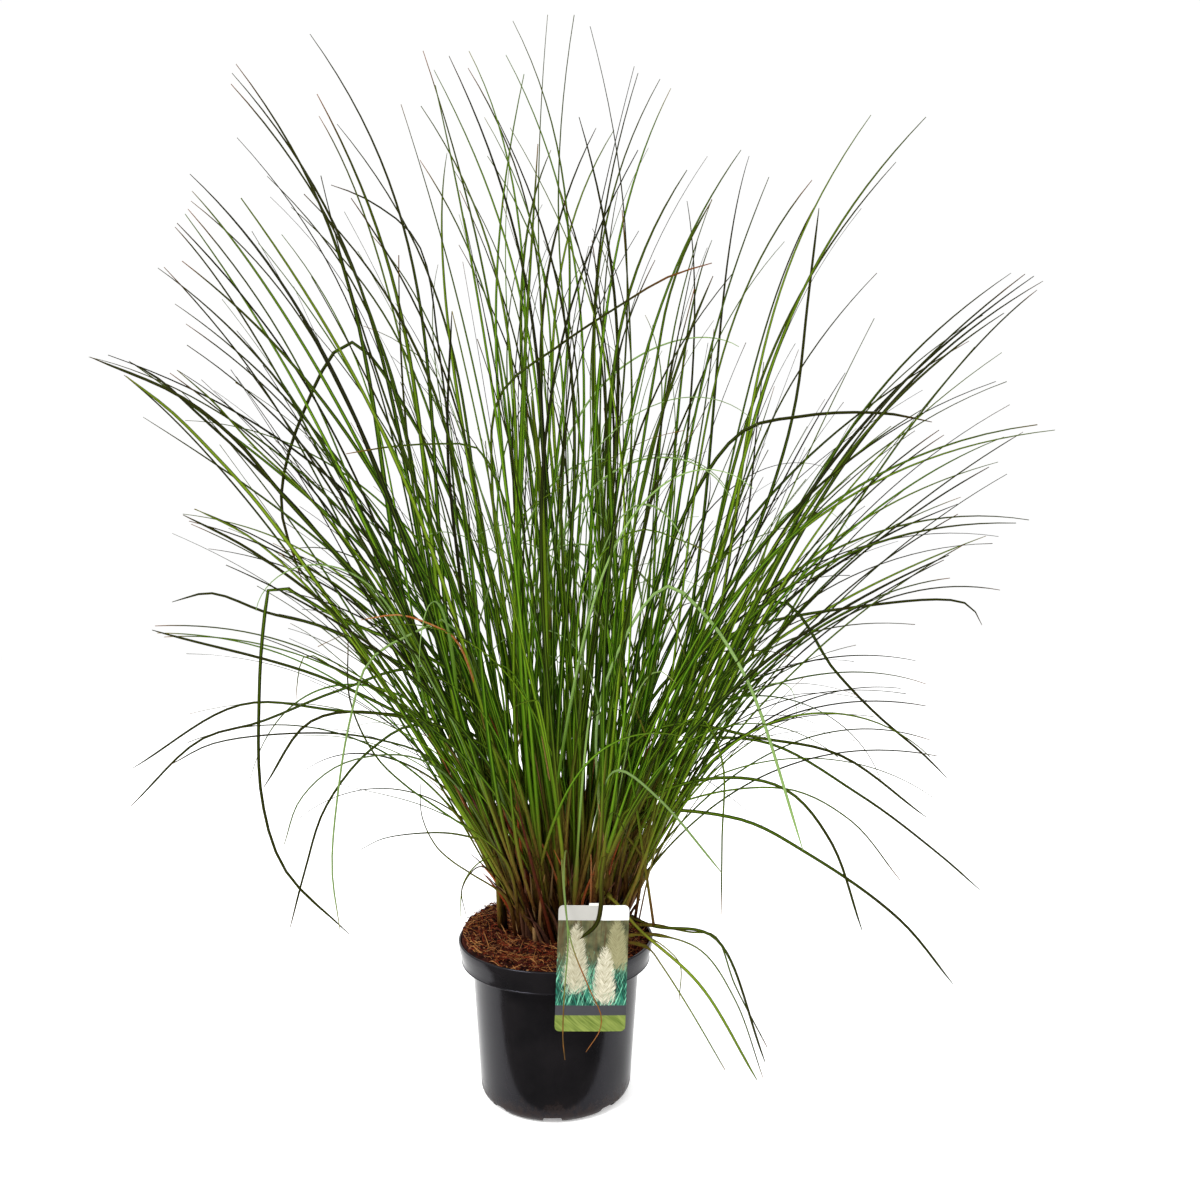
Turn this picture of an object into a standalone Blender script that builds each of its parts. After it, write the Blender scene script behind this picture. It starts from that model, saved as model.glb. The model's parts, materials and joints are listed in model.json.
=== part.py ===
"""Potted pampas grass: a round nursery pot filled with soil, a plant label hooked over its lip,
and a clump of grass whose shoots each carry a few long arching leaves.

Metres, +Z up. The origin is the middle of the pot's base, and the plant's front faces -Y.
"""
import math
import random

import bmesh
import bpy
import numpy as np
from mathutils import Vector, noise
from mathutils.geometry import interpolate_bezier

GAP = 0.0003
WELD_DISTANCE = 1e-5
TURN_MERGE_DISTANCE = 1e-4
POT_SMOOTH_ANGLE = 60
LABEL_SMOOTH_ANGLE = 40
LEAF_SMOOTH_ANGLE = 50

# Pot: a 220 mm nursery pot with a tall lip
POT_HEIGHT = 0.170
LIP_RADIUS = 0.110
LIP_FOOT_RADIUS = 0.1055
LIP_HEIGHT = 0.024
LIP_ROLL = 0.0035
BODY_TOP_RADIUS = 0.0945
BASE_RADIUS = 0.0845
BASE_CORNER = 0.010
WALL = 0.0018
POT_STEPS = 36
DRAIN_COUNT = 8
DRAIN_WIDTH = 0.020
DRAIN_HEIGHT = 0.007
DRAIN_REACH = 0.016

# Soil: level at the front of the rim, mounded at the back and left, flat where the crown sits
SOIL_EDGE_LEVEL = 0.158
SOIL_MOUND = 0.022
SOIL_BUMP = 0.004
SOIL_BUMP_SIZE = 0.028
SOIL_RINGS = 8
CROWN_MARGIN = 0.009
MOUND_BLEND = 0.018
MOUND_BEARING = math.radians(140)

# Crown: the disc of soil that the shoots grow from
CROWN_X = 0.014
CROWN_Y = 0.022
CROWN_RADIUS = 0.056
CROWN_LEVEL = 0.170
SHOOT_COUNT = 46
GOLDEN_ANGLE = math.pi * (3 - math.sqrt(5))
INNER_LEAN = math.radians(2)
OUTER_LEAN = math.radians(31)

# Leaves: a folded sheath at the foot, then a keeled blade that tapers to a hair
MAIN_LEAF_POINTS = 10
SIDE_LEAF_POINTS = 9
SHEATH_HALF_WIDTH = 0.0043
SHEATH_END = 0.10
BLADE_HALF_WIDTH = 0.0031
TIP_HALF_WIDTH = 0.0004
TAPER_START = 0.42
LONGEST_COLLAR = 0.3
SIDE_COLLAR = 0.08
SHORT_BLADE_SHARE = 0.5
FULL_BLADE_LENGTH = 0.9
BLADE_TOP = 0.25
KEEL_DEPTH = 0.75
FOOT_TRIM = 0.004
SIDE_LEAF_STARTS = (0.050, 0.085, 0.120)
SIDE_LEAF_START_WIDTH = 0.0023
LEAF_CLEARANCE = 0.0006
TRIES = 90
MAX_LEAVES = 3
TOP_LEVEL = 1.15
FRONT_REACH = 0.43
BACK_REACH = 0.52
DEEP_FACING = 0.62
SEED = 12

# How a leaf bends: its tip leans more than its chord by a share of how much the chord leans more
# than the foot, and sways aside by a wave over the tip's place
DROOP = 1.4
LEAST_DROOP = 0.42
STEEPEST_TIP = math.radians(165)
SWAY = 0.8
SWAY_RATE = 80
FOOT_PULL = 0.42
TIP_PULL = 0.36
ARCH_STEPS = 40
SPLINE_STEPS = 12
STRAIGHT_START = 0.06

# How leaves are dealt out: outer leaves reach far and low, and a leaf that has no room is shifted
CROWN_FILL_REACH = 0.42
CROWN_FILL_POWER = 0.9
LEAF_COST = 0.014
LEAST_REACH = 0.2
REACH_SHARES = (0.7, 1)
OUTER_DROP = 0.62
DROP_SHARES = (0.35, 1.1)
BEARING_SPREAD = 0.4
OWN_REACH = 0.08
OWN_SPREAD = 0.30
OWN_LEVEL = 1.13
OWN_DROP = 1.2
TRY_STEP = 0.006
TURN_PER_SHIFT = 1.5
CARD_LINES = (-0.024, 0, 0.024)
CARD_LEVELS = (0.125, 0.18, 0.235)
CARD_ROOM = 0.013
CARD_SETBACK = 0.009
RING_STEPS = 24
PARALLEL_LIMIT = 1e-12
# Radius, height and half width of each ring that stands for the pot
POT_RINGS = ((0.108, 0.161, 0.011), (0.101, 0.140, 0.018), (0.082, 0.070, 0.020), (0.080, 0.020, 0.020))

# Label: a printed card in front of the lip, with a stake folded over behind it
LABEL_X = 0.0440
LABEL_Y = -0.1110
LABEL_WIDTH = 0.072
LABEL_HEIGHT = 0.128
LABEL_FOOT = 0.111
LABEL_THICKNESS = 0.0008
LABEL_CORNER = 0.005
LABEL_TILT = math.radians(2)
STAKE_WIDTH = 0.010
STAKE_FOLD_RADIUS = 0.0025
STAKE_END = 0.115
STAKE_LAP = 0.020
STAKE_BEND_RISE = 0.012
STAKE_Y = -0.0700

# The view that the leaves are traced in: a level camera in front of the pot, in a square frame
EYE = Vector((0.050, -1.041, 0.550))
FOCAL_PIXELS = 913
FRAME_MIDDLE = 600

# Leaf tips seen in the photograph: column, row, and the tip's distance behind the pot's axis in mm
LEAF_TIPS = (
    # Top, from left to right
    (513, 21, -5), (469, 51, 20), (449, 56, -60), (434, 70, 70), (421, 106, -110),
    (506, 55, 50), (524, 74, -150), (447, 153, 210), (538, 144, -240), (551, 150, 250),
    (579, 117, -90), (596, 128, 60), (614, 130, 170), (638, 73, -40), (660, 79, 60),
    (638, 150, -230), (687, 170, -130), (687, 201, 220), (712, 199, -30), (741, 150, 20),
    (749, 156, 110), (769, 177, -120), (712, 240, 300), (732, 274, -280),
    # Upper left
    (310, 34, -40), (236, 64, -30), (232, 73, 60), (317, 94, -140), (337, 124, 190),
    (193, 131, 10), (190, 174, -100), (267, 176, 240), (192, 191, 120), (185, 214, -20),
    (241, 198, -200), (291, 207, 300), (304, 194, -260), (158, 268, 40), (182, 261, -140),
    (175, 304, 170), (187, 345, -230), (177, 370, 110), (89, 357, 20), (108, 355, -90),
    (129, 361, 160), (183, 514, 60), (189, 521, -80), (226, 565, -200),
    # Upper right
    (871, 115, 20), (926, 117, -30), (896, 162, 140), (1011, 273, 30), (1034, 276, -70),
    (1043, 281, 110), (1004, 313, -160), (969, 341, 230), (928, 406, 170), (975, 441, -190),
    (1004, 437, 60), (1055, 430, -10), (998, 462, 150), (958, 504, 280), (1029, 520, 20),
    (1016, 523, -110), (986, 536, 180), (949, 555, -260), (1004, 601, -40), (926, 684, 160),
)

# Leaves whose whole route shows: the tip's distance behind the pot's axis in mm, then columns and rows
LEAF_ROUTES = (
    # Left: low arches, a kinked leaf that hangs to the rim and one that folds back down
    (30, (470, 720), (330, 630), (265, 612), (210, 593), (172, 602)),
    (-60, (500, 790), (345, 687), (152, 630)),
    (60, (480, 740), (330, 710), (240, 705), (133, 768)),
    (-40, (500, 740), (420, 670), (340, 690), (260, 722), (200, 740), (131, 806)),
    (-150, (500, 760), (375, 713), (310, 722), (264, 787)),
    (-120, (500, 800), (420, 725), (370, 750), (325, 808), (305, 870), (290, 928)),
    (-60, (470, 690), (330, 614), (272, 586), (264, 622), (259, 700), (262, 800), (285, 870), (349, 934)),
    (90, (500, 640), (400, 400), (348, 342), (300, 420), (281, 504), (302, 581)),
    # Right: upright spear, long arches, and the low bunch that kinks over the rim
    (0, (690, 700), (775, 480), (796, 400), (808, 300), (819, 208)),
    (-70, (640, 640), (736, 436), (802, 416), (884, 413), (932, 422)),
    (70, (640, 720), (720, 640), (863, 606), (968, 604), (982, 625)),
    (20, (640, 740), (779, 601), (835, 671), (876, 714), (924, 755), (947, 778)),
    (-210, (600, 700), (666, 586), (704, 614), (730, 649), (755, 698), (803, 850)),
    (-240, (600, 760), (663, 647), (687, 698), (703, 800), (705, 895)),
    (-70, (620, 820), (735, 818), (810, 855), (900, 920), (953, 984)),
    (30, (640, 760), (755, 740), (860, 795), (940, 855), (980, 890)),
    (-130, (620, 760), (670, 725), (760, 738), (840, 755), (926, 817)),
    (-180, (620, 820), (700, 780), (783, 788), (830, 840), (862, 930)),
    (-190, (600, 900), (650, 925), (715, 938), (765, 1062)),
    (-215, (600, 890), (640, 930), (700, 985), (757, 1080)),
)


def from_photo(column, row, depth):
    """Returns the point seen at a pixel, at a depth in metres behind the pot's axis."""
    scale = (depth - EYE.y) / FOCAL_PIXELS
    return Vector((EYE.x + (column - FRAME_MIDDLE) * scale, depth, EYE.z - (row - FRAME_MIDDLE) * scale))


def to_photo(point):
    """Returns the pixel column and row at which a point is seen."""
    scale = FOCAL_PIXELS / (point.y - EYE.y)
    return FRAME_MIDDLE + (point.x - EYE.x) * scale, FRAME_MIDDLE - (point.z - EYE.z) * scale


def finish(name, colour, roughness):
    """Makes a plastic or plant material from an sRGB hex colour."""
    channels = [int(colour[i:i + 2], 16) / 255 for i in (1, 3, 5)]
    linear = [c / 12.92 if c <= 0.04045 else ((c + 0.055) / 1.055) ** 2.4 for c in channels]
    material = bpy.data.materials.new(name)
    material.use_nodes = True
    shader = material.node_tree.nodes["Principled BSDF"]
    shader.inputs["Base Color"].default_value = (*linear, 1)
    shader.inputs["Roughness"].default_value = roughness
    shader.inputs["Metallic"].default_value = 0
    return material


def add_object(name, mesh, material, collection, parent=None):
    """Links a mesh as a named object with its material."""
    mesh.materials.append(material)
    thing = bpy.data.objects.new(name, mesh)
    collection.objects.link(thing)
    thing.parent = parent
    return thing


def smooth(mesh, angle):
    """Shades a mesh smooth, with sharp edges above an angle in degrees."""
    mesh.shade_smooth()
    mesh.set_sharp_from_angle(angle=math.radians(angle))


def evaluated_mesh(thing):
    """Returns a new mesh of an object with its modifiers applied."""
    bpy.context.view_layer.update()
    graph = bpy.context.evaluated_depsgraph_get()
    return bpy.data.meshes.new_from_object(thing.evaluated_get(graph))


def weld(mesh):
    """Joins the loose caps of a mesh made from a curve, and turns its faces outwards."""
    shape = bmesh.new()
    shape.from_mesh(mesh)
    bmesh.ops.remove_doubles(shape, verts=shape.verts, dist=WELD_DISTANCE)
    bmesh.ops.recalc_face_normals(shape, faces=shape.faces)
    shape.to_mesh(mesh)
    shape.free()
    return mesh


def mesh_from_curve(curve):
    """Turns a curve into a welded mesh, and removes the curve."""
    path = bpy.data.objects.new(curve.name, curve)
    bpy.context.scene.collection.objects.link(path)
    mesh = weld(evaluated_mesh(path))
    bpy.data.objects.remove(path)
    bpy.data.curves.remove(curve)
    return mesh


def join(thing, others):
    """Unites an object with others by Boolean, and removes the others."""
    for other in others:
        union = thing.modifiers.new("union", "BOOLEAN")
        union.operation = "UNION"
        union.solver = "EXACT"
        union.object = other
    mesh = evaluated_mesh(thing)
    thing.modifiers.clear()
    thing.data = mesh
    for other in others:
        bpy.data.objects.remove(other)


def arc(centre_x, centre_z, radius, start, end, steps):
    """Returns points of a round stretch of a turned profile, between two angles in degrees."""
    angles = [math.radians(start + (end - start) * i / steps) for i in range(steps + 1)]
    return [(centre_x + radius * math.cos(a), centre_z + radius * math.sin(a)) for a in angles]


def pot_outside():
    """Returns the pot's outer profile, from the top of the lip down to the base's edge."""
    lip_foot = POT_HEIGHT - LIP_HEIGHT
    roll = arc(LIP_RADIUS - LIP_ROLL / 2, POT_HEIGHT - LIP_ROLL / 2, LIP_ROLL / 2, 90, 0, 2)
    shoulder = [(LIP_FOOT_RADIUS, lip_foot), (LIP_FOOT_RADIUS - WALL, lip_foot - WALL / 2),
                (BODY_TOP_RADIUS, lip_foot - 2 * WALL)]
    corner = arc(BASE_RADIUS - BASE_CORNER, BASE_CORNER, BASE_CORNER, 0, -90, 3)
    return roll + shoulder + corner


def pot_inside():
    """Returns the pot's inner profile, from the floor's edge up to the top of the lip."""
    lip_foot = POT_HEIGHT - LIP_HEIGHT
    corner = arc(BASE_RADIUS - BASE_CORNER, BASE_CORNER, BASE_CORNER - WALL, -90, 0, 2)
    shoulder = [(BODY_TOP_RADIUS - WALL, lip_foot), (LIP_FOOT_RADIUS - WALL, lip_foot + 2 * WALL),
                (LIP_RADIUS - LIP_ROLL, POT_HEIGHT - LIP_ROLL / 2)]
    return corner + shoulder


def turned(name, profile, steps):
    """Turns an open profile of radius and height once round the Z axis."""
    mesh = bpy.data.meshes.new(name)
    shape = bmesh.new()
    points = [shape.verts.new((radius, 0, height)) for radius, height in profile]
    for first, second in zip(points, points[1:]):
        shape.edges.new((first, second))
    shape.to_mesh(mesh)
    shape.free()
    thing = bpy.data.objects.new(name, mesh)
    screw = thing.modifiers.new("turn", "SCREW")
    screw.steps = steps
    screw.render_steps = steps
    screw.use_merge_vertices = True
    screw.merge_threshold = TURN_MERGE_DISTANCE
    screw.use_smooth_shade = True
    return thing


def cut(thing, cutter):
    """Takes a cutter's shape out of an object."""
    difference = thing.modifiers.new("cut_" + cutter.name, "BOOLEAN")
    difference.operation = "DIFFERENCE"
    difference.solver = "EXACT"
    difference.object = cutter


def box_cutter(name, size, location, bearing, collection):
    """Adds a box that cuts, turned about Z."""
    mesh = bpy.data.meshes.new(name)
    shape = bmesh.new()
    bmesh.ops.create_cube(shape, size=1)
    bmesh.ops.scale(shape, vec=size, verts=shape.verts)
    shape.to_mesh(mesh)
    shape.free()
    cutter = bpy.data.objects.new(name, mesh)
    cutter.location = location
    cutter.rotation_euler.z = bearing
    cutter.hide_render = True
    cutter.display_type = "WIRE"
    collection.objects.link(cutter)
    return cutter


def make_pot(collection, cutters, parent):
    """Turns the pot and cuts the drainage notches through its bottom corner."""
    profile = [(0, WALL)] + pot_inside() + pot_outside() + [(0, 0)]
    pot = turned("nursery_pot", profile, POT_STEPS)
    collection.objects.link(pot)
    pot.parent = parent
    pot.data.materials.append(finish("black_polypropylene", "#141415", 0.28))
    for i in range(DRAIN_COUNT):
        bearing = -math.pi / 2 + 2 * math.pi * i / DRAIN_COUNT
        place = (BASE_RADIUS * math.cos(bearing), BASE_RADIUS * math.sin(bearing), 0)
        size = (2 * DRAIN_REACH, DRAIN_WIDTH, 2 * DRAIN_HEIGHT)
        cut(pot, box_cutter(f"drain_cutter_{i + 1}", size, place, bearing, cutters))
    return pot


def soil_level(x, y):
    """Returns the height of the soil at a place: flat at the crown, bumpy towards the rim."""
    from_crown = math.hypot(x - CROWN_X, y - CROWN_Y) - CROWN_RADIUS - SHEATH_HALF_WIDTH
    blend = max(0, min(1, (from_crown - CROWN_MARGIN) / MOUND_BLEND))
    facing = 0.5 + 0.5 * math.cos(math.atan2(y, x) - MOUND_BEARING)
    level = SOIL_EDGE_LEVEL + SOIL_MOUND * facing
    level += SOIL_BUMP * noise.noise(Vector((x, y, 0)) / SOIL_BUMP_SIZE)
    return CROWN_LEVEL + (level - CROWN_LEVEL) * blend


def make_soil(collection, cutters, parent):
    """Turns the soil that fills the pot, shapes its top, and cuts the slot for the label's stake."""
    inside = [(radius - GAP, height + GAP) for radius, height in pot_inside()[:-1]]
    top_radius = LIP_FOOT_RADIUS - WALL - GAP
    rings = [(top_radius * (1 - i / SOIL_RINGS), SOIL_EDGE_LEVEL) for i in range(SOIL_RINGS + 1)]
    profile = [(0, WALL + GAP)] + inside[:-1] + rings
    turned_soil = turned("potting_soil", profile[::-1], POT_STEPS)
    collection.objects.link(turned_soil)
    mesh = evaluated_mesh(turned_soil)
    bpy.data.objects.remove(turned_soil)
    for vertex in mesh.vertices:
        if vertex.co.z > SOIL_EDGE_LEVEL - WELD_DISTANCE:
            vertex.co.z = soil_level(vertex.co.x, vertex.co.y)
    smooth(mesh, POT_SMOOTH_ANGLE)
    soil = add_object("potting_soil", mesh, finish("coir_compost", "#4a2f22", 0.95), collection, parent)
    slot_depth = CROWN_LEVEL + SOIL_MOUND - STAKE_END + GAP
    slot = (STAKE_WIDTH + 2 * GAP, LABEL_THICKNESS + 2 * GAP, slot_depth)
    place = (LABEL_X, STAKE_Y, STAKE_END - GAP + slot_depth / 2)
    cut(soil, box_cutter("stake_slot_cutter", slot, place, 0, cutters))
    return soil


def label_card():
    """Returns the card's mesh: a rounded rectangle standing in the XZ plane, foot at the origin."""
    curve = bpy.data.curves.new("label_card", "CURVE")
    curve.dimensions = "2D"
    curve.fill_mode = "BOTH"
    curve.extrude = LABEL_THICKNESS / 2
    outline = []
    for side, top, start in ((1, 0, -90), (1, 1, 0), (-1, 1, 90), (-1, 0, 180)):
        middle_x = side * (LABEL_WIDTH / 2 - LABEL_CORNER)
        middle_z = LABEL_HEIGHT - LABEL_CORNER if top else LABEL_CORNER
        outline += arc(middle_x, middle_z, LABEL_CORNER, start, start + 90, 3)
    spline = curve.splines.new("POLY")
    spline.points.add(len(outline) - 1)
    spline.use_cyclic_u = True
    for point, (x, z) in zip(spline.points, outline):
        point.co = (x, z, 0, 1)
    return mesh_from_curve(curve)


def label_strip():
    """Returns the stake's mesh: up from the card, over the fold and down behind the lip."""
    fold = arc(0, 0, STAKE_FOLD_RADIUS, 180, 20, 5)
    top = LABEL_FOOT + LABEL_HEIGHT - STAKE_FOLD_RADIUS / 2
    route = [(LABEL_Y, top - STAKE_LAP)]
    route += [(LABEL_Y + STAKE_FOLD_RADIUS + y, top + z) for y, z in fold]
    route += [(STAKE_Y, POT_HEIGHT + STAKE_BEND_RISE), (STAKE_Y, STAKE_END)]
    mesh = bpy.data.meshes.new("label_strip")
    shape = bmesh.new()
    points = [shape.verts.new((LABEL_X - STAKE_WIDTH / 2, y, z)) for y, z in route]
    edges = [shape.edges.new(pair) for pair in zip(points, points[1:])]
    swept = bmesh.ops.extrude_edge_only(shape, edges=edges)
    moved = [item for item in swept["geom"] if isinstance(item, bmesh.types.BMVert)]
    bmesh.ops.translate(shape, vec=(STAKE_WIDTH, 0, 0), verts=moved)
    shape.to_mesh(mesh)
    shape.free()
    strip = bpy.data.objects.new("label_strip", mesh)
    solidify = strip.modifiers.new("thickness", "SOLIDIFY")
    solidify.thickness = LABEL_THICKNESS
    solidify.offset = 0
    solidify.use_even_offset = True
    bpy.context.scene.collection.objects.link(strip)
    thick = weld(evaluated_mesh(strip))
    bpy.data.objects.remove(strip)
    return thick


def make_label(collection, parent):
    """Joins the card and its folded stake into one plastic label."""
    card = label_card()
    shape = bmesh.new()
    shape.from_mesh(card)
    bmesh.ops.triangulate(shape, faces=shape.faces)
    for vertex in shape.verts:
        x, z, y = vertex.co
        vertex.co = (LABEL_X + x + math.sin(LABEL_TILT) * (z - LABEL_HEIGHT), LABEL_Y - y, LABEL_FOOT + z)
    bmesh.ops.recalc_face_normals(shape, faces=shape.faces)
    shape.to_mesh(card)
    shape.free()
    plastic = finish("white_polypropylene_card", "#e9e9e4", 0.35)
    label = add_object("plant_label", card, plastic, collection, parent)
    strip = add_object("label_strip", label_strip(), plastic, collection)
    join(label, [strip])
    smooth(label.data, LABEL_SMOOTH_ANGLE)
    return label


def direction(bearing, lean):
    """Returns the unit vector that leans from vertical towards a bearing."""
    return Vector((math.sin(lean) * math.cos(bearing), math.sin(lean) * math.sin(bearing), math.cos(lean)))


def evenly(points, count):
    """Returns points at equal distances along a chain of points."""
    chain = np.array([tuple(point) for point in points])
    steps = np.linalg.norm(np.diff(chain, axis=0), axis=1)
    travelled = np.concatenate([[0], np.cumsum(steps)])
    wanted = np.linspace(0, travelled[-1], count)
    return np.stack([np.interp(wanted, travelled, chain[:, axis]) for axis in range(3)], axis=1)


def arched(foot, rise, tip):
    """Returns a route from a foot that sets off along rise and bends over to a tip."""
    chord = tip - foot
    flat = Vector((chord.x, chord.y, 0))
    chord_lean = math.atan2(flat.length, chord.z)
    lean = math.acos(max(-1, min(1, rise.z)))
    tip_lean = min(STEEPEST_TIP, chord_lean + max(LEAST_DROOP, DROOP * (chord_lean - lean)))
    sway = SWAY * math.cos(chord_lean) ** 2 * math.sin(SWAY_RATE * (tip.x + tip.z))
    tip_way = direction(math.atan2(chord.y, chord.x) + sway, tip_lean)
    handle_1 = foot + rise * chord.length * FOOT_PULL
    handle_2 = tip - tip_way * chord.length * TIP_PULL
    return interpolate_bezier(foot, handle_1, handle_2, tip, ARCH_STEPS)


def through(points):
    """Returns a smooth route through points, by a centripetal Catmull-Rom spline."""
    points = [points[0] * 2 - points[1]] + points + [points[-1] * 2 - points[-2]]
    route = []
    for p0, p1, p2, p3 in zip(points, points[1:], points[2:], points[3:]):
        t1 = (p1 - p0).length ** 0.5
        t2 = t1 + (p2 - p1).length ** 0.5
        t3 = t2 + (p3 - p2).length ** 0.5
        for i in range(SPLINE_STEPS):
            t = t1 + (t2 - t1) * i / SPLINE_STEPS
            a1 = p0.lerp(p1, t / t1)
            a2 = p1.lerp(p2, (t - t1) / (t2 - t1))
            a3 = p2.lerp(p3, (t - t2) / (t3 - t2))
            b1 = a1.lerp(a2, t / t2)
            b2 = a2.lerp(a3, (t - t1) / (t3 - t1))
            route.append(b1.lerp(b2, (t - t1) / (t2 - t1)))
    return route + [points[-2]]


class Shoot:
    """One shoot: where it leaves the soil, which way it leans, and the leaves it carries."""

    def __init__(self, number):
        share = math.sqrt((number + 0.5) / SHOOT_COUNT)
        self.bearing = number * GOLDEN_ANGLE
        self.lean = INNER_LEAN + (OUTER_LEAN - INNER_LEAN) * share
        offset = Vector((math.cos(self.bearing), math.sin(self.bearing), 0)) * CROWN_RADIUS * share
        self.foot = Vector((CROWN_X, CROWN_Y, CROWN_LEVEL - FOOT_TRIM)) + offset
        self.rise = direction(self.bearing, self.lean)
        self.leaves = []
        self.routes = []


def footprint(tip):
    """Returns the place in the crown that a leaf with this tip would grow from."""
    away = Vector((tip.x - CROWN_X, tip.y - CROWN_Y))
    share = min(1, away.length / CROWN_FILL_REACH) ** CROWN_FILL_POWER
    return Vector((CROWN_X, CROWN_Y)) + away.normalized() * CROWN_RADIUS * share


def photo_route(foot, rise, depth, pixels):
    """Returns a route from a foot through pixels, whose depth changes evenly up to the tip."""
    seen = [Vector(to_photo(foot))] + [Vector(pixel) for pixel in pixels]
    steps = [(b - a).length for a, b in zip(seen, seen[1:])]
    points = [foot, foot + rise * STRAIGHT_START]
    travelled = 0
    for pixel, step in zip(seen[1:], steps):
        travelled += step
        share = travelled / sum(steps)
        points.append(from_photo(pixel.x, pixel.y, foot.y + (depth - foot.y) * share))
    return through(points)


def leaf_route(shoot, leaf, foot, shift):
    """Returns a leaf's route from its foot, with its tip shifted along the line of sight."""
    kind, depth, pixels = leaf
    if kind == "route":
        return photo_route(foot, shoot.rise, depth + shift, pixels)
    if kind == "tip":
        return arched(foot, shoot.rise, from_photo(*pixels, depth + shift))
    reach, height, bearing = pixels
    bearing += shift * TURN_PER_SHIFT
    tip = Vector((CROWN_X + reach * math.cos(bearing), CROWN_Y + reach * math.sin(bearing), height))
    return arched(foot, shoot.rise, tip)


def give_leaves(shoots, chance):
    """Deals the traced leaves to the shoots that face them, then fills up the other shoots."""
    traced = [("route", depth / 1000, pixels) for depth, *pixels in LEAF_ROUTES]
    traced += [("tip", depth / 1000, (column, row)) for column, row, depth in LEAF_TIPS]
    for leaf in traced:
        end = leaf[2][-1] if leaf[0] == "route" else leaf[2]
        place = footprint(from_photo(*end, leaf[1]))
        free = [shoot for shoot in shoots if len(shoot.leaves) < MAX_LEAVES]
        best = min(free, key=lambda s: (s.foot.xy - place).length + LEAF_COST * len(s.leaves))
        best.leaves.append(leaf)
    for shoot in shoots:
        facing = math.sin(shoot.bearing)
        wanted = MAX_LEAVES if abs(facing) > DEEP_FACING else 2
        farthest = BACK_REACH if facing > 0 else FRONT_REACH
        share = (shoot.foot.xy - Vector((CROWN_X, CROWN_Y))).length / CROWN_RADIUS
        while len(shoot.leaves) < wanted:
            bearing = shoot.bearing + chance.uniform(-BEARING_SPREAD, BEARING_SPREAD)
            reach = farthest * (LEAST_REACH + (1 - LEAST_REACH) * share * chance.uniform(*REACH_SHARES))
            height = TOP_LEVEL - OUTER_DROP * share ** 2 * chance.uniform(*DROP_SHARES)
            shoot.leaves.append(("rule", 0, (reach, height, bearing)))


def segment_gap(route_a, widths_a, route_b, widths_b):
    """Returns the least gap between two chains of round segments."""
    p1, d1 = route_a[:-1, None], np.diff(route_a, axis=0)[:, None]
    p2, d2 = route_b[None, :-1], np.diff(route_b, axis=0)[None]
    between = p1 - p2
    a = (d1 * d1).sum(-1)
    e = (d2 * d2).sum(-1)
    b = (d1 * d2).sum(-1)
    c = (d1 * between).sum(-1)
    f = (d2 * between).sum(-1)
    s = np.clip((b * f - c * e) / np.maximum(a * e - b * b, PARALLEL_LIMIT), 0, 1)
    t = np.clip((b * s + f) / e, 0, 1)
    s = np.clip((b * t - c) / a, 0, 1)
    distance = np.linalg.norm(between + d1 * s[..., None] - d2 * t[..., None], axis=-1)
    width_a = widths_a[:-1, None] * (1 - s) + widths_a[1:, None] * s
    width_b = widths_b[None, :-1] * (1 - t) + widths_b[None, 1:] * t
    return (distance - width_a - width_b).min()


def leaf_widths(is_main, length, count):
    """Returns the half widths along a leaf, from its foot to its tip."""
    along = np.linspace(0, 1, count)
    start = SHEATH_HALF_WIDTH if is_main else SIDE_LEAF_START_WIDTH
    grown = min(1, length / FULL_BLADE_LENGTH)
    blade = BLADE_HALF_WIDTH * (SHORT_BLADE_SHARE + (1 - SHORT_BLADE_SHARE) * grown)
    collar = min(LONGEST_COLLAR, SHEATH_END / length) if is_main else SIDE_COLLAR
    return np.interp(along, [0, collar, TAPER_START, 1], [start, start, blade, TIP_HALF_WIDTH])


def fixed_things():
    """Returns chains that stand for the label and the lip, which the leaves keep clear of."""
    things = []
    for x in CARD_LINES:
        card = np.array([(LABEL_X + x, LABEL_Y + CARD_SETBACK, z) for z in CARD_LEVELS])
        things.append((card, np.full(len(card), CARD_ROOM)))
    turns = [2 * math.pi * i / RING_STEPS for i in range(RING_STEPS + 1)]
    for radius, height, width in POT_RINGS:
        ring = np.array([(radius * math.cos(a), radius * math.sin(a), height) for a in turns])
        things.append((ring, np.full(len(ring), width)))
    return things


def grow(shoots):
    """Routes every leaf clear of the other shoots, main leaves first, and leaves out those with no room."""
    placed = [(None, chain, widths) for chain, widths in fixed_things()]
    for shoot in shoots:
        reach = OWN_REACH + OWN_SPREAD * (shoot.lean - INNER_LEAN) / (OUTER_LEAN - INNER_LEAN)
        own_way = ("rule", 0, (reach, OWN_LEVEL - OWN_DROP * reach ** 2, shoot.bearing))
        for leaf in shoot.leaves + [own_way]:
            found = clear_route(shoot, leaf, shoot.foot, placed, True)
            if found is not None:
                break
        if found is None:
            continue
        if leaf in shoot.leaves:
            shoot.leaves.remove(leaf)
        shoot.routes.append(found)
        placed.append((shoot, *found))
    for start in SIDE_LEAF_STARTS:
        for shoot in shoots:
            if not shoot.leaves or not shoot.routes:
                continue
            found = clear_route(shoot, shoot.leaves.pop(0), along_main(shoot, start), placed, False)
            if found is not None:
                shoot.routes.append(found)
                placed.append((shoot, *found))


def along_main(shoot, distance):
    """Returns the point at a distance up a shoot's main leaf."""
    route = shoot.routes[0][0]
    steps = np.linalg.norm(np.diff(route, axis=0), axis=1)
    travelled = np.concatenate([[0], np.cumsum(steps)])
    return Vector([np.interp(distance, travelled, route[:, axis]) for axis in range(3)])


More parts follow.
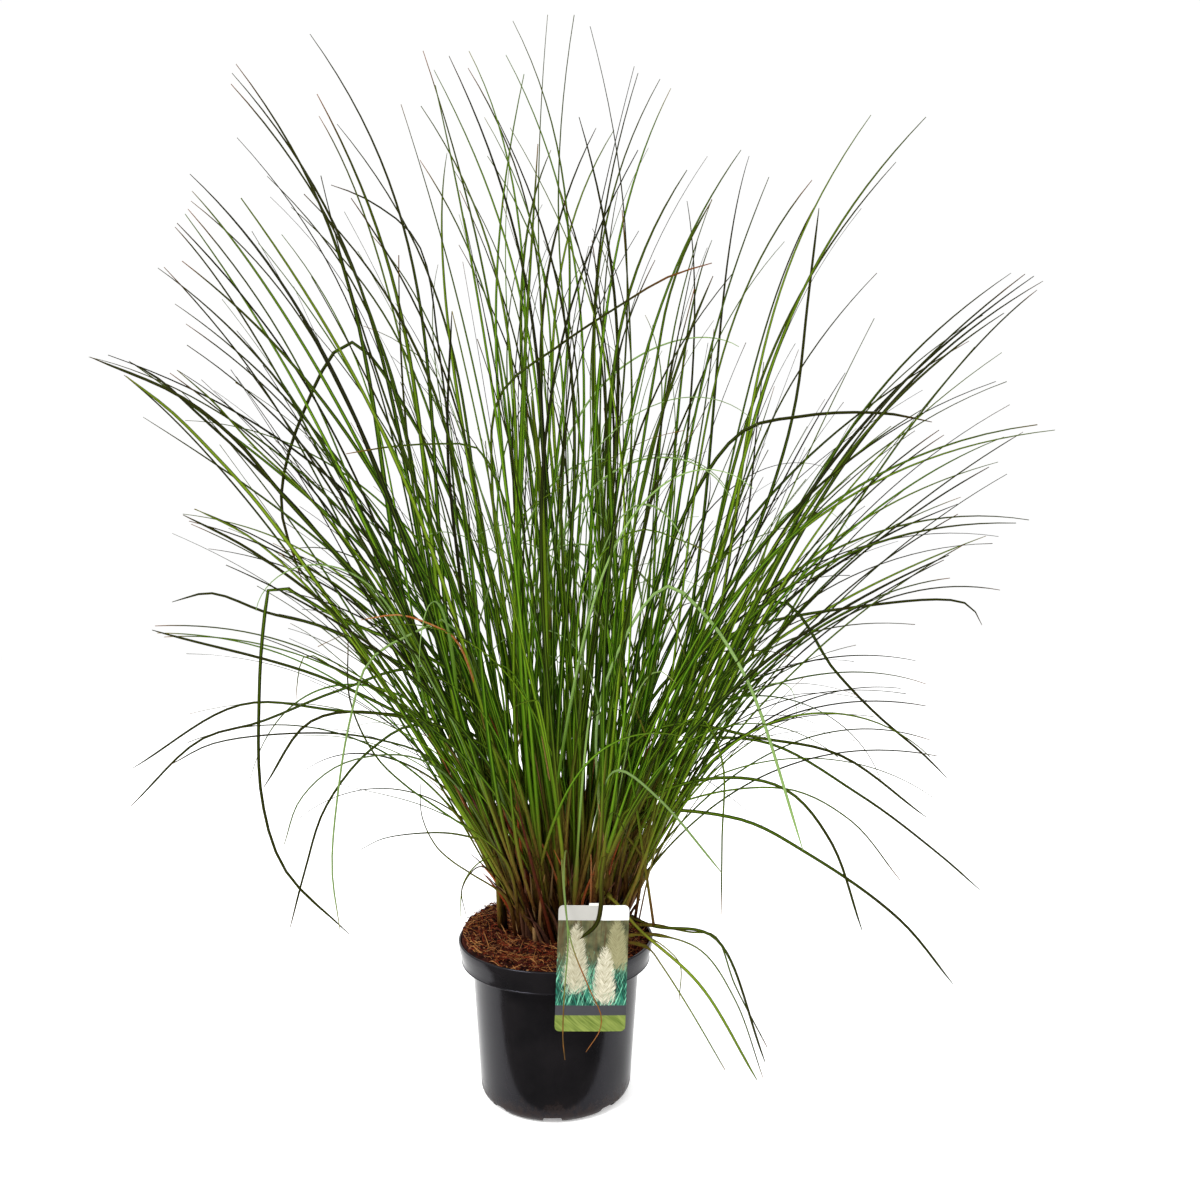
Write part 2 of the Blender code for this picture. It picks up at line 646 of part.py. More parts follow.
def clear_route(shoot, leaf, foot, placed, is_main):
    """Returns the first route and widths that keep clear of the placed leaves, or None."""
    for attempt in range(TRIES):
        shift = (attempt + 1) // 2 * TRY_STEP * (-1) ** attempt
        count = MAIN_LEAF_POINTS if is_main else SIDE_LEAF_POINTS
        route = evenly(leaf_route(shoot, leaf, foot, shift), count)
        length = np.linalg.norm(np.diff(route, axis=0), axis=1).sum()
        widths = leaf_widths(is_main, length, count)
        if all(segment_gap(route, widths, other, other_widths) > LEAF_CLEARANCE
               for owner, other, other_widths in placed if owner is not shoot):
            return route, widths
    return None


def blade_section():
    """Adds the leaf's cross-section: flat above, with a keel below."""
    curve = bpy.data.curves.new("blade_section", "CURVE")
    curve.dimensions = "2D"
    spline = curve.splines.new("POLY")
    spline.points.add(2)
    spline.use_cyclic_u = True
    for point, (x, y) in zip(spline.points, ((1, BLADE_TOP), (-1, BLADE_TOP), (0, BLADE_TOP - KEEL_DEPTH))):
        point.co = (x, y, 0, 1)
    section = bpy.data.objects.new("blade_section", curve)
    bpy.context.scene.collection.objects.link(section)
    return section


def leaf_mesh(route, widths, section):
    """Sweeps the cross-section along a route, scaled to the widths."""
    curve = bpy.data.curves.new("leaf", "CURVE")
    curve.dimensions = "3D"
    curve.bevel_mode = "OBJECT"
    curve.bevel_object = section
    curve.use_fill_caps = True
    spline = curve.splines.new("POLY")
    spline.points.add(len(route) - 1)
    for point, place, width in zip(spline.points, route, widths):
        point.co = (*place, 1)
        point.radius = width
    return mesh_from_curve(curve)


def trim_foot(mesh):
    """Cuts a shoot off level, just above the soil."""
    shape = bmesh.new()
    shape.from_mesh(mesh)
    parts = shape.verts[:] + shape.edges[:] + shape.faces[:]
    bmesh.ops.bisect_plane(shape, geom=parts, plane_co=(0, 0, FOOT_TRIM + GAP), plane_no=(0, 0, 1),
                           clear_inner=True)
    bmesh.ops.holes_fill(shape, edges=[edge for edge in shape.edges if edge.is_boundary])
    shape.to_mesh(mesh)
    shape.free()


def make_shoots(collection, crown):
    """Grows the clump, one object for each shoot."""
    shoots = [Shoot(number) for number in range(SHOOT_COUNT)]
    give_leaves(shoots, random.Random(SEED))
    grow(shoots)
    greens = [finish(f"grass_{shade}", colour, 0.45) for shade, colour in
              (("dark", "#3f6427"), ("mid", "#4f7a2b"), ("yellow", "#7d8a3a"))]
    section = blade_section()
    for number, shoot in enumerate(s for s in shoots if s.routes):
        offset = shoot.foot - crown.location
        meshes = [leaf_mesh(route - np.array(shoot.foot), widths, section) for route, widths in shoot.routes]
        green = greens[number % len(greens)]
        main, *sides = [add_object(f"shoot_{number + 1:02d}" if i == 0 else f"side_{i}", mesh, green,
                                   collection) for i, mesh in enumerate(meshes)]
        join(main, sides)
        trim_foot(main.data)
        smooth(main.data, LEAF_SMOOTH_ANGLE)
        main.parent = crown
        main.location = offset
    bpy.data.objects.remove(section)


def build():
    """Clears the scene and makes the potted plant."""
    for thing in list(bpy.data.objects):
        bpy.data.objects.remove(thing)
    scene_root = bpy.context.scene.collection
    plant = bpy.data.collections.new("potted_pampas_grass")
    cutters = bpy.data.collections.new("cutters")
    scene_root.children.link(plant)
    scene_root.children.link(cutters)
    stand = bpy.data.objects.new("pot_axis", None)
    plant.objects.link(stand)
    crown = bpy.data.objects.new("crown", None)
    crown.location = (CROWN_X, CROWN_Y, CROWN_LEVEL)
    plant.objects.link(crown)
    make_pot(plant, cutters, stand)
    make_soil(plant, cutters, stand)
    make_label(plant, stand)
    make_shoots(plant, crown)


build()
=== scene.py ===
"""Potted pampas grass: the looks of its black pot, brown soil, printed label and every leaf."""
import json
import math
import random

import bmesh
import bpy
import numpy as np
from mathutils import Matrix, Vector, noise
from mathutils.geometry import interpolate_bezier


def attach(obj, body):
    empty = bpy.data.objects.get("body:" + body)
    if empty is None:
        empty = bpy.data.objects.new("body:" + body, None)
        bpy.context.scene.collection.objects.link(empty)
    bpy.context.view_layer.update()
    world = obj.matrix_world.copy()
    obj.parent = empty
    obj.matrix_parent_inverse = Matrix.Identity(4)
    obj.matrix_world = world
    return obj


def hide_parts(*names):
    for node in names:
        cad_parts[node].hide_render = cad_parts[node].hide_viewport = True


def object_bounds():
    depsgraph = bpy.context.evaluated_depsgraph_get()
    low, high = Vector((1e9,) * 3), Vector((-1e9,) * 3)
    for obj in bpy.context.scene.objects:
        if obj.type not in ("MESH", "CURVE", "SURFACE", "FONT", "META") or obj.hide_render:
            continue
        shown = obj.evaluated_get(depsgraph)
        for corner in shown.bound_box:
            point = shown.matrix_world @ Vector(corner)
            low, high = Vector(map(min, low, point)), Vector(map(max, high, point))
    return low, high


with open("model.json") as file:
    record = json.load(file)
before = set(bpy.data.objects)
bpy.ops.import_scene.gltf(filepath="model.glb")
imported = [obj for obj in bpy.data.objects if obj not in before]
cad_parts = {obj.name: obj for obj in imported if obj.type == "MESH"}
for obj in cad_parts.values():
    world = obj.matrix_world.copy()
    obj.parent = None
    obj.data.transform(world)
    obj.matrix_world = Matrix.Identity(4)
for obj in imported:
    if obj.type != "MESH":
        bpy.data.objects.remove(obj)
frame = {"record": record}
cad_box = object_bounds()

# Studio: a pale floor under a plain white sky, one large soft light from the upper left, weaker ones
# from the right and the back, and a black card on the floor before the pot, as if the pot stood at
# the edge of a white table. Only reflections see the card, and it keeps the pot's front black.
EYE = Vector((0.050, -1.041, 0.550))
FOCAL_PIXELS = 913
FRAME_PIXELS = 1200
SENSOR_MM = 36
SKY_STRENGTH = 1.01
# Painted light: the floor paper's glow, which fills the shadows on it
PAPER_GLOW = 0.30
LIGHT_AIM = Vector((0, 0, 0.55))
FLOOR_RADIUS = 9.0
CARD_SIZE = 8.0
CARD_EDGE = -0.101
CARD_LEVEL = 0.001


def linear(colour):
    """Turns an sRGB hex colour into linear red, green, blue and alpha."""
    channels = [int(colour[i:i + 2], 16) / 255 for i in (1, 3, 5)]
    return tuple(c / 12.92 if c <= 0.04045 else ((c + 0.055) / 1.055) ** 2.4 for c in channels) + (1.0,)


def new_material(name):
    """Makes an empty node material, and returns it with its surface shader."""
    material = bpy.data.materials.new(name)
    material.use_nodes = True
    return material, material.node_tree.nodes["Principled BSDF"]


def add_node(material, kind, inputs=None, stops=None, **settings):
    """Adds a node, sets its properties and ramp stops, and fills its inputs with values or links."""
    node = material.node_tree.nodes.new(kind)
    for name, value in settings.items():
        setattr(node, name, value)
    if stops:
        ramp = node.color_ramp
        while len(ramp.elements) < len(stops):
            ramp.elements.new(0.5)
        for element, (position, colour) in zip(ramp.elements, stops):
            element.position = position
            element.color = linear(colour) if isinstance(colour, str) else (colour, colour, colour, 1)
    for name, value in (inputs or {}).items():
        if isinstance(value, bpy.types.NodeSocket):
            material.node_tree.links.new(value, node.inputs[name])
        else:
            node.inputs[name].default_value = value
    return node


def link(material, output, socket):
    """Links an output to a socket that a shader already has."""
    material.node_tree.links.new(output, socket)


def new_piece(name, shape, material, smooth_angle=None):
    """Turns a finished bmesh into an object at the origin."""
    mesh = bpy.data.meshes.new(name)
    shape.to_mesh(mesh)
    shape.free()
    mesh.materials.append(material)
    if smooth_angle is not None:
        mesh.shade_smooth()
        mesh.set_sharp_from_angle(angle=math.radians(smooth_angle))
    piece = bpy.data.objects.new(name, mesh)
    bpy.context.scene.collection.objects.link(piece)
    return piece


scene = bpy.context.scene
scene.view_settings.view_transform = "Standard"
camera_data = bpy.data.cameras.new("camera")
camera_data.sensor_width = SENSOR_MM
camera_data.lens = FOCAL_PIXELS * SENSOR_MM / FRAME_PIXELS
camera_data.clip_start = 0.01
camera = bpy.data.objects.new("camera", camera_data)
camera.location = EYE
camera.rotation_euler = (math.radians(90), 0, 0)
scene.collection.objects.link(camera)
scene.camera = camera

sky = bpy.data.worlds.new("studio_sky")
sky.use_nodes = True
sky.node_tree.nodes["Background"].inputs["Color"].default_value = (1.0, 1.0, 1.0, 1)
sky.node_tree.nodes["Background"].inputs["Strength"].default_value = SKY_STRENGTH
scene.world = sky

for light_name, spot, size, power in (("key_light", (-1.9, -1.7, 2.9), 1.5, 135),
                                      ("fill_light", (2.4, -1.2, 1.6), 1.8, 16),
                                      ("back_light", (0.6, 2.4, 2.6), 1.6, 26)):
    light_data = bpy.data.lights.new(light_name, "AREA")
    light_data.shape = "DISK"
    light_data.size = size
    light_data.energy = power
    light = bpy.data.objects.new(light_name, light_data)
    light.location = spot
    light.rotation_euler = (LIGHT_AIM - light.location).to_track_quat("-Z", "Y").to_euler()
    scene.collection.objects.link(light)

# Matt white studio paper has no sheen; its glow is painted light, which fills the shadows on the floor so
# that it is as pale as the sky
glowing_paper_white, shader = new_material("glowing_matt_white_paper")
shader.inputs["Base Color"].default_value = linear("#f9f9f9")
shader.inputs["Roughness"].default_value = 0.9
shader.inputs["Emission Color"].default_value = linear("#ffffff")
shader.inputs["Emission Strength"].default_value = PAPER_GLOW
shape = bmesh.new()
bmesh.ops.create_circle(shape, cap_ends=True, segments=96, radius=FLOOR_RADIUS)
floor = new_piece("studio_floor", shape, glowing_paper_white)

# Matt black card, dark enough that nothing shows in it
card_black, shader = new_material("matt_black_card")
shader.inputs["Base Color"].default_value = linear("#050505")
shader.inputs["Roughness"].default_value = 1.0
shape = bmesh.new()
bmesh.ops.create_grid(shape, x_segments=1, y_segments=1, size=CARD_SIZE / 2)
bmesh.ops.translate(shape, vec=(0, CARD_EDGE - CARD_SIZE / 2, CARD_LEVEL), verts=shape.verts)
card = new_piece("reflection_card", shape, card_black)
card.visible_camera = False
card.visible_diffuse = False
card.visible_shadow = False
card.visible_transmission = False

# Nursery pot: injection-moulded black polypropylene, turned from one wall with a tall lip, rounded
# foot and drainage notches. The mould leaves it glossy; handling leaves dust and fine scratches.
POT_HEIGHT = 0.170
LIP_RADIUS = 0.110
LIP_FOOT_RADIUS = 0.1058
LIP_FOOT_LEVEL = 0.1455
LIP_ROLL = 0.0016
LIP_BEAD = 0.0005
BODY_TOP_RADIUS = 0.0945
BASE_RADIUS = 0.0845
BASE_CORNER = 0.010
POT_WALL = 0.0014
POT_STEPS = 160
DRAIN_COUNT = 8
DRAIN_WIDTH = 0.020
DRAIN_HEIGHT = 0.0065
DRAIN_REACH = 0.016
DRAIN_CORNER = 0.0022
BODY_FILLET = 0.0016
FILLET_DROP = 0.0022
LIP_SHOULDER = (0.0007, 0.009)
LIP_WAIST = (0.0006, 0.006)
BODY_LEVELS = (0.120, 0.085, 0.050, 0.022)
INNER_LEVELS = (0.050, 0.100)
SCRATCH_SPACING_MM = 2.2
SCRATCH_LENGTH_MM = 83.3
DUST_PATCH_MM = 9
DUST_HEIGHT = 0.055
FILM_PATCH_MM = 45.5


def arc(centre_x, centre_z, radius, start, end, steps):
    """Returns points of a round stretch of a turned profile, between two angles in degrees."""
    angles = [math.radians(start + (end - start) * i / steps) for i in range(steps + 1)]
    return [(centre_x + radius * math.cos(a), centre_z + radius * math.sin(a)) for a in angles]


def turned(profile, steps):
    """Spins an open profile of radius and height once round the Z axis into a bmesh."""
    turned_shape = bmesh.new()
    points = [turned_shape.verts.new((radius, 0, height)) for radius, height in profile]
    edges = [turned_shape.edges.new(pair) for pair in zip(points, points[1:])]
    bmesh.ops.spin(turned_shape, geom=points + edges, cent=(0, 0, 0), axis=(0, 0, 1), angle=math.tau,
                   steps=steps, use_merge=True)
    bmesh.ops.remove_doubles(turned_shape, verts=turned_shape.verts, dist=1e-6)
    bmesh.ops.recalc_face_normals(turned_shape, faces=turned_shape.faces)
    return turned_shape


def body_radius(height):
    """Returns the pot body's outer radius at a height."""
    share = (height - BASE_CORNER) / (LIP_FOOT_LEVEL - BASE_CORNER)
    return BASE_RADIUS + (BODY_TOP_RADIUS - BASE_RADIUS) * share


outer = arc(LIP_RADIUS - LIP_ROLL, POT_HEIGHT - LIP_ROLL, LIP_ROLL, 90, 0, 6)
outer += [(LIP_RADIUS - LIP_SHOULDER[0], POT_HEIGHT - LIP_SHOULDER[1]),
          (LIP_FOOT_RADIUS + LIP_WAIST[0], LIP_FOOT_LEVEL + LIP_WAIST[1])]
outer += arc(LIP_FOOT_RADIUS, LIP_FOOT_LEVEL + LIP_BEAD, LIP_BEAD * 1.6, 60, -90, 6)
outer += arc(BODY_TOP_RADIUS + BODY_FILLET, LIP_FOOT_LEVEL - FILLET_DROP, BODY_FILLET, 90, 180, 4)
outer += [(body_radius(height), height) for height in BODY_LEVELS]
outer += arc(BASE_RADIUS - BASE_CORNER, BASE_CORNER, BASE_CORNER, 0, -90, 10)
inner = arc(BASE_RADIUS - BASE_CORNER, BASE_CORNER, BASE_CORNER - POT_WALL, -90, 0, 8)
inner += [(body_radius(height) - POT_WALL, height) for height in (*INNER_LEVELS, LIP_FOOT_LEVEL - 0.001)]
inner += [(LIP_FOOT_RADIUS - POT_WALL, LIP_FOOT_LEVEL + 0.0015),
          (LIP_RADIUS - 2 * LIP_ROLL, POT_HEIGHT - LIP_ROLL)]
inner += arc(LIP_RADIUS - LIP_ROLL, POT_HEIGHT - LIP_ROLL, LIP_ROLL, 180, 110, 4)

# Black polypropylene from a polished mould mirrors the room softly: it is a bluish grey where the
# white studio shows in it, with a thin film of dirt, scratches down the wall and brown dust at the foot
black_pp, shader = new_material("moulded_black_polypropylene")
place = add_node(black_pp, "ShaderNodeTexCoord")
height_map = add_node(black_pp, "ShaderNodeSeparateXYZ", {"Vector": place.outputs["Object"]})
dust_noise = add_node(black_pp, "ShaderNodeTexNoise", {
    "Vector": place.outputs["Object"], "Scale": 1000 / DUST_PATCH_MM, "Detail": 8, "Roughness": 0.72})
dust_low = add_node(black_pp, "ShaderNodeMapRange", {
    "Value": height_map.outputs["Z"], "From Min": 0.0, "From Max": DUST_HEIGHT, "To Min": 1, "To Max": 0})
dust_mask = add_node(black_pp, "ShaderNodeMath", {0: dust_low.outputs[0], 1: dust_noise.outputs["Fac"]},
                     operation="MULTIPLY")
dust = add_node(black_pp, "ShaderNodeValToRGB", {"Fac": dust_mask.outputs[0]},
                stops=((0.30, 0.0), (0.62, 0.55)))
film = add_node(black_pp, "ShaderNodeTexNoise", {
    "Vector": place.outputs["Object"], "Scale": 1000 / FILM_PATCH_MM, "Detail": 4, "Roughness": 0.6})
grey = add_node(black_pp, "ShaderNodeValToRGB", {"Fac": film.outputs["Fac"]},
                stops=((0.35, "#111011"), (0.7, "#181617")))
colour = add_node(black_pp, "ShaderNodeMix", {
    0: dust.outputs["Color"], 6: grey.outputs["Color"], 7: linear("#3a2a1f")}, data_type="RGBA")
link(black_pp, colour.outputs[2], shader.inputs["Base Color"])
stretch = add_node(black_pp, "ShaderNodeMapping", {
    "Vector": place.outputs["Object"],
    "Scale": (1000 / SCRATCH_SPACING_MM, 1000 / SCRATCH_SPACING_MM, 1000 / SCRATCH_LENGTH_MM)})
scratches = add_node(black_pp, "ShaderNodeTexNoise", {
    "Vector": stretch.outputs[0], "Scale": 1.0, "Detail": 3, "Roughness": 0.6})
gloss = add_node(black_pp, "ShaderNodeMapRange", {
    "Value": scratches.outputs["Fac"], "From Min": 0.3, "From Max": 0.75, "To Min": 0.13, "To Max": 0.24})
dull = add_node(black_pp, "ShaderNodeMath", {0: dust.outputs["Color"], 1: 0.8, 2: gloss.outputs[0]},
                operation="MULTIPLY_ADD")
link(black_pp, dull.outputs[0], shader.inputs["Roughness"])
ripple = add_node(black_pp, "ShaderNodeBump", {
    "Height": scratches.outputs["Fac"], "Strength": 0.035, "Distance": 0.0006})
link(black_pp, ripple.outputs["Normal"], shader.inputs["Normal"])
shader.inputs["IOR"].default_value = 1.49
shader.inputs["Specular IOR Level"].default_value = 0.19
shader.inputs["Specular Tint"].default_value = linear("#e0e0f4")

pot_profile = [(0, POT_WALL)] + inner + outer + [(0, 0)]
pot = new_piece("black_nursery_pot", turned(pot_profile, POT_STEPS), black_pp, 38)
notch_cutters = []
for i in range(DRAIN_COUNT):
    bearing = -math.pi / 2 + math.tau * i / DRAIN_COUNT
    shape = bmesh.new()
    bmesh.ops.create_cube(shape, size=1)
    bmesh.ops.scale(shape, vec=(2 * DRAIN_REACH, DRAIN_WIDTH, 2 * DRAIN_HEIGHT), verts=shape.verts)
    bmesh.ops.bevel(shape, geom=[e for e in shape.edges if abs(e.verts[0].co.y - e.verts[1].co.y) < 1e-9
                                 and abs(e.verts[0].co.z - e.verts[1].co.z) < 1e-9],
                    offset=DRAIN_CORNER, segments=3, profile=0.5, affect="EDGES", material=-1)
    bmesh.ops.translate(shape, vec=(BASE_RADIUS, 0, 0), verts=shape.verts)
    bmesh.ops.rotate(shape, cent=(0, 0, 0), matrix=Matrix.Rotation(bearing, 3, "Z"), verts=shape.verts)
    cutter = new_piece(f"notch_cutter_{i}", shape, black_pp)
    notch = pot.modifiers.new(f"notch_{i}", "BOOLEAN")
    notch.operation = "DIFFERENCE"
    notch.object = cutter
    notch_cutters.append(cutter)


def apply_modifiers(piece):
    """Replaces a piece's mesh by the one its modifiers make."""
    bpy.context.view_layer.update()
    finished = bpy.data.meshes.new_from_object(piece.evaluated_get(bpy.context.evaluated_depsgraph_get()))
    piece.modifiers.clear()
    piece.data = finished


apply_modifiers(pot)
for cutter in notch_cutters:
    bpy.data.objects.remove(cutter)
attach(pot, "root")
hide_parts("nursery_pot")

# Potting soil: coarse coir and peat, pressed in by hand up to the rim and heaped a little at the
# back left. The bed is one lumpy body; loose fibres, bark chips and crumbs lie on it in three pieces.
SOIL_EDGE_LEVEL = 0.158
SOIL_MOUND = 0.022
SOIL_BUMP = 0.004
SOIL_BUMP_SIZE = 0.028
MOUND_BEARING = math.radians(140)
CROWN_X = 0.014
CROWN_Y = 0.022
CROWN_RADIUS = 0.056
CROWN_LEVEL = 0.170
CROWN_MARGIN = 0.009
MOUND_BLEND = 0.018
SHEATH_HALF_WIDTH = 0.0043
SOIL_GAP = 0.0006
SOIL_FOOT_GAP = 0.0004
SOIL_SKIN = 0.156
SOIL_LOWEST = 0.1548
SOIL_STEPS = 168
SOIL_RING_GAP = 0.0011
CLOD_MM = 7
CLOD_RISE = 0.0020
GRAIN_MM = 2.2
GRAIN_RISE = 0.0006
LUMP_MM = 11.1
STRAND_MM = (1.11, 2.38, 1.67)
FIBRE_REACH = 0.1035
FIBRE_LIMIT = 0.1050
FIBRE_LENGTHS = (0.005, 0.015)
FIBRE_RADII = (0.00020, 0.00066)
LONG_FIBRE_SHARE = 0.06
LONG_FIBRE_SCALE = 1.8
FIBRE_BEND = 1.5
FIBRE_LIFT = 0.0009
LYING_SHARE = 0.85
LYING_RISES = (-0.10, 0.35)
STANDING_RISES = (0.4, 1.1)
FIBRE_COUNT = 4600
CHIP_COUNT = 1500
CRUMB_COUNT = 1500
FIBRE_STEPS = 3


def soil_level(x, y):
    """Returns the height of the soil at a place: flat at the crown, bumpy towards the rim."""
    from_crown = math.hypot(x - CROWN_X, y - CROWN_Y) - CROWN_RADIUS - SHEATH_HALF_WIDTH
    blend = max(0, min(1, (from_crown - CROWN_MARGIN) / MOUND_BLEND))
    facing = 0.5 + 0.5 * math.cos(math.atan2(y, x) - MOUND_BEARING)
    level = SOIL_EDGE_LEVEL + SOIL_MOUND * facing
    level += SOIL_BUMP * noise.noise(Vector((x, y, 0)) / SOIL_BUMP_SIZE)
    return CROWN_LEVEL + (level - CROWN_LEVEL) * blend


def soil_top(x, y):
    """Returns the height of the finished soil, with clods and grains."""
    clods = noise.turbulence(Vector((x, y, 0.3)) * 1000 / CLOD_MM, 3, False)
    grains = noise.noise(Vector((x, y, 0.7)) * 1000 / GRAIN_MM)
    return soil_level(x, y) + CLOD_RISE * (clods - 0.55) + GRAIN_RISE * grains


soil_edge = LIP_RADIUS - 2 * LIP_ROLL - SOIL_GAP
soil_profile = [(0, POT_WALL + SOIL_FOOT_GAP), (BASE_RADIUS - BASE_CORNER, POT_WALL + SOIL_FOOT_GAP)]
soil_profile += [(BASE_RADIUS - POT_WALL - 2 * SOIL_FOOT_GAP, BASE_CORNER),
                 (BODY_TOP_RADIUS - POT_WALL - SOIL_GAP, 0.140),
                 (LIP_FOOT_RADIUS - POT_WALL - SOIL_GAP, LIP_FOOT_LEVEL + 0.0025),
                 (soil_edge - 0.0005, 0.1545)]
ring_count = int(soil_edge / SOIL_RING_GAP)
soil_profile += [(soil_edge * (1 - i / ring_count), SOIL_SKIN) for i in range(ring_count + 1)]
shape = turned(soil_profile, SOIL_STEPS)
for vert in shape.verts:
    if vert.co.z > SOIL_SKIN - 0.0005:
        vert.co.z = max(SOIL_LOWEST, soil_top(vert.co.x, vert.co.y))

# Compost of coir and peat is matt and damp, dark red brown to rust brown in random patches
coir, shader = new_material("coir_and_peat_compost")
place = add_node(coir, "ShaderNodeTexCoord")
lumps = add_node(coir, "ShaderNodeTexNoise", {
    "Vector": place.outputs["Object"], "Scale": 1000 / LUMP_MM, "Detail": 9, "Roughness": 0.7})
browns = add_node(coir, "ShaderNodeValToRGB", {"Fac": lumps.outputs["Fac"]},
                  stops=((0.30, "#080201"), (0.46, "#1d0803"), (0.58, "#3c1207"), (0.75, "#5b2412")))
link(coir, browns.outputs["Color"], shader.inputs["Base Color"])
strands = add_node(coir, "ShaderNodeMapping", {
    "Vector": place.outputs["Object"], "Scale": [1000 / size for size in STRAND_MM]})
strand_noise = add_node(coir, "ShaderNodeTexNoise", {
    "Vector": strands.outputs[0], "Scale": 1, "Detail": 4, "Roughness": 0.65, "Distortion": 1.4})
strand_bump = add_node(coir, "ShaderNodeBump", {
    "Height": strand_noise.outputs["Fac"], "Strength": 0.7, "Distance": 0.0012})
link(coir, strand_bump.outputs["Normal"], shader.inputs["Normal"])
shader.inputs["Roughness"].default_value = 0.95
shader.inputs["Specular IOR Level"].default_value = 0.12
soil = new_piece("compost_bed", shape, coir, 180)
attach(soil, "root")
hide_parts("potting_soil")


def cut_through(shape, place, way):
    """Cuts every face of a shape along a plane, so that it can bend there."""
    bmesh.ops.bisect_plane(shape, geom=shape.verts[:] + shape.edges[:] + shape.faces[:],
                           plane_co=place, plane_no=way)


def blank_mesh(name, shape):
    """Keeps a shape with a tone attribute as a mesh to copy, and returns it with its points' places."""
    shape.verts.layers.float_color.new("tone")
    mesh = bpy.data.meshes.new(name)
    shape.to_mesh(mesh)
    shape.free()
    return mesh, np.array([vert.co[:] for vert in mesh.vertices])


def repeated(name, blank, places, tones, material, smooth_angle):
    """Makes one piece of many copies of a blank, each copy with its own point places and tones."""
    joined = bmesh.new()
    for _ in places:
        joined.from_mesh(blank)
    piece = new_piece(name, joined, material)
    piece.data.vertices.foreach_set("co", np.concatenate(places).ravel())
    piece.data.attributes["tone"].data.foreach_set("color", np.concatenate(tones).ravel())
    piece.data.update()
    piece.data.shade_smooth()
    piece.data.set_sharp_from_angle(angle=math.radians(smooth_angle))
    return piece


def flat_tones(chance, count, size):
    """Returns one chance tone for each of many small shapes of a number of points."""
    values = chance.uniform(0, 1, count)
    return [np.tile((value, value, value, 1), (size, 1)) for value in values]


def scatter(chance, reach):
    """Returns a chance place on the soil between the middle and a reach."""
    angle = chance.uniform(0, math.tau)
    radius = reach * math.sqrt(chance.uniform(0, 1))
    return radius * math.cos(angle), radius * math.sin(angle)


def fibre_places(chance, strand):
    """Returns the point places of one coir fibre: a thin, bent strand that lies on the soil."""
    x, y = scatter(chance, FIBRE_REACH)
    length = chance.uniform(*FIBRE_LENGTHS)
    if chance.uniform(0, 1) < LONG_FIBRE_SHARE:
        length *= LONG_FIBRE_SCALE
    turn = chance.uniform(0, math.tau)
    bend = chance.uniform(-FIBRE_BEND, FIBRE_BEND)
    rises = LYING_RISES if chance.uniform(0, 1) < LYING_SHARE else STANDING_RISES
    rise = chance.uniform(*rises)
    radius = chance.uniform(*FIBRE_RADII)
    along = strand[:, 2]
    heading = turn + bend * along
    run = length * along
    centre_x = x + run * np.cos(turn + bend * along / 2)
    centre_y = y + run * np.sin(turn + bend * along / 2)
    inward = np.minimum(1, FIBRE_LIMIT / np.hypot(centre_x, centre_y))
    centre_x, centre_y = centre_x * inward, centre_y * inward
    ground = np.array([soil_level(*place) for place in zip(centre_x, centre_y)])
    thin = radius * (1 - 0.6 * along)
    lift = np.maximum(-0.0004, run * math.sin(rise) * (1 - 0.3 * abs(bend) * along))
    height = ground + FIBRE_LIFT + lift
    return np.stack([centre_x - np.sin(heading) * strand[:, 0] * thin,
                     centre_y + np.cos(heading) * strand[:, 0] * thin,
                     height + strand[:, 1] * thin], axis=1)


def grain_places(chance, grain, reach, lengths, slimness, knobs, tip):
    """Returns the point places of one chip or crumb: a knobbly grain, stretched and tipped at random."""
    x, y = scatter(chance, reach)
    length = chance.uniform(*lengths)
    width = length * chance.uniform(*slimness)
    body = grain * (length, width, width * 0.6) / 2 + chance.normal(0, width * knobs, grain.shape)
    turn = Matrix.Rotation(chance.uniform(0, math.tau), 3, "Z")
    turn = turn @ Matrix.Rotation(chance.uniform(-tip, tip), 3, "Y")
    turn = turn @ Matrix.Rotation(chance.uniform(-1, 1), 3, "X")
    return body @ np.array(turn).T + (x, y, soil_level(x, y) + 0.0006 + width * 0.25)


def tone_material(name, stops, roughness, streak_mm):
    """Makes a matt material coloured by each small shape's tone, with streaks of a real size."""
    material, surface = new_material(name)
    tone = add_node(material, "ShaderNodeAttribute", attribute_name="tone")
    where = add_node(material, "ShaderNodeTexCoord")
    streaks = add_node(material, "ShaderNodeTexNoise", {
        "Vector": where.outputs["Object"], "Scale": 1000 / streak_mm, "Detail": 4, "Roughness": 0.6})
    shifted = add_node(material, "ShaderNodeMath", {
        0: streaks.outputs["Fac"], 1: 0.35, 2: tone.outputs["Fac"]}, operation="MULTIPLY_ADD")
    ramp = add_node(material, "ShaderNodeValToRGB", {"Fac": shifted.outputs[0]}, stops=stops)
    link(material, ramp.outputs["Color"], surface.inputs["Base Color"])
    rough = add_node(material, "ShaderNodeBump", {
        "Height": streaks.outputs["Fac"], "Strength": 0.5, "Distance": 0.0004})
    link(material, rough.outputs["Normal"], surface.inputs["Normal"])
    surface.inputs["Roughness"].default_value = roughness
    surface.inputs["Specular IOR Level"].default_value = 0.12
    return material


# Coir is the husk fibre of coconuts: rust and straw brown, wiry and matt
coir_fibre = tone_material("coir_husk_fibre", (
    (0.20, "#120301"), (0.62, "#481306"), (0.90, "#7a3015"), (1.0, "#98693a")), 0.8, 1.5)
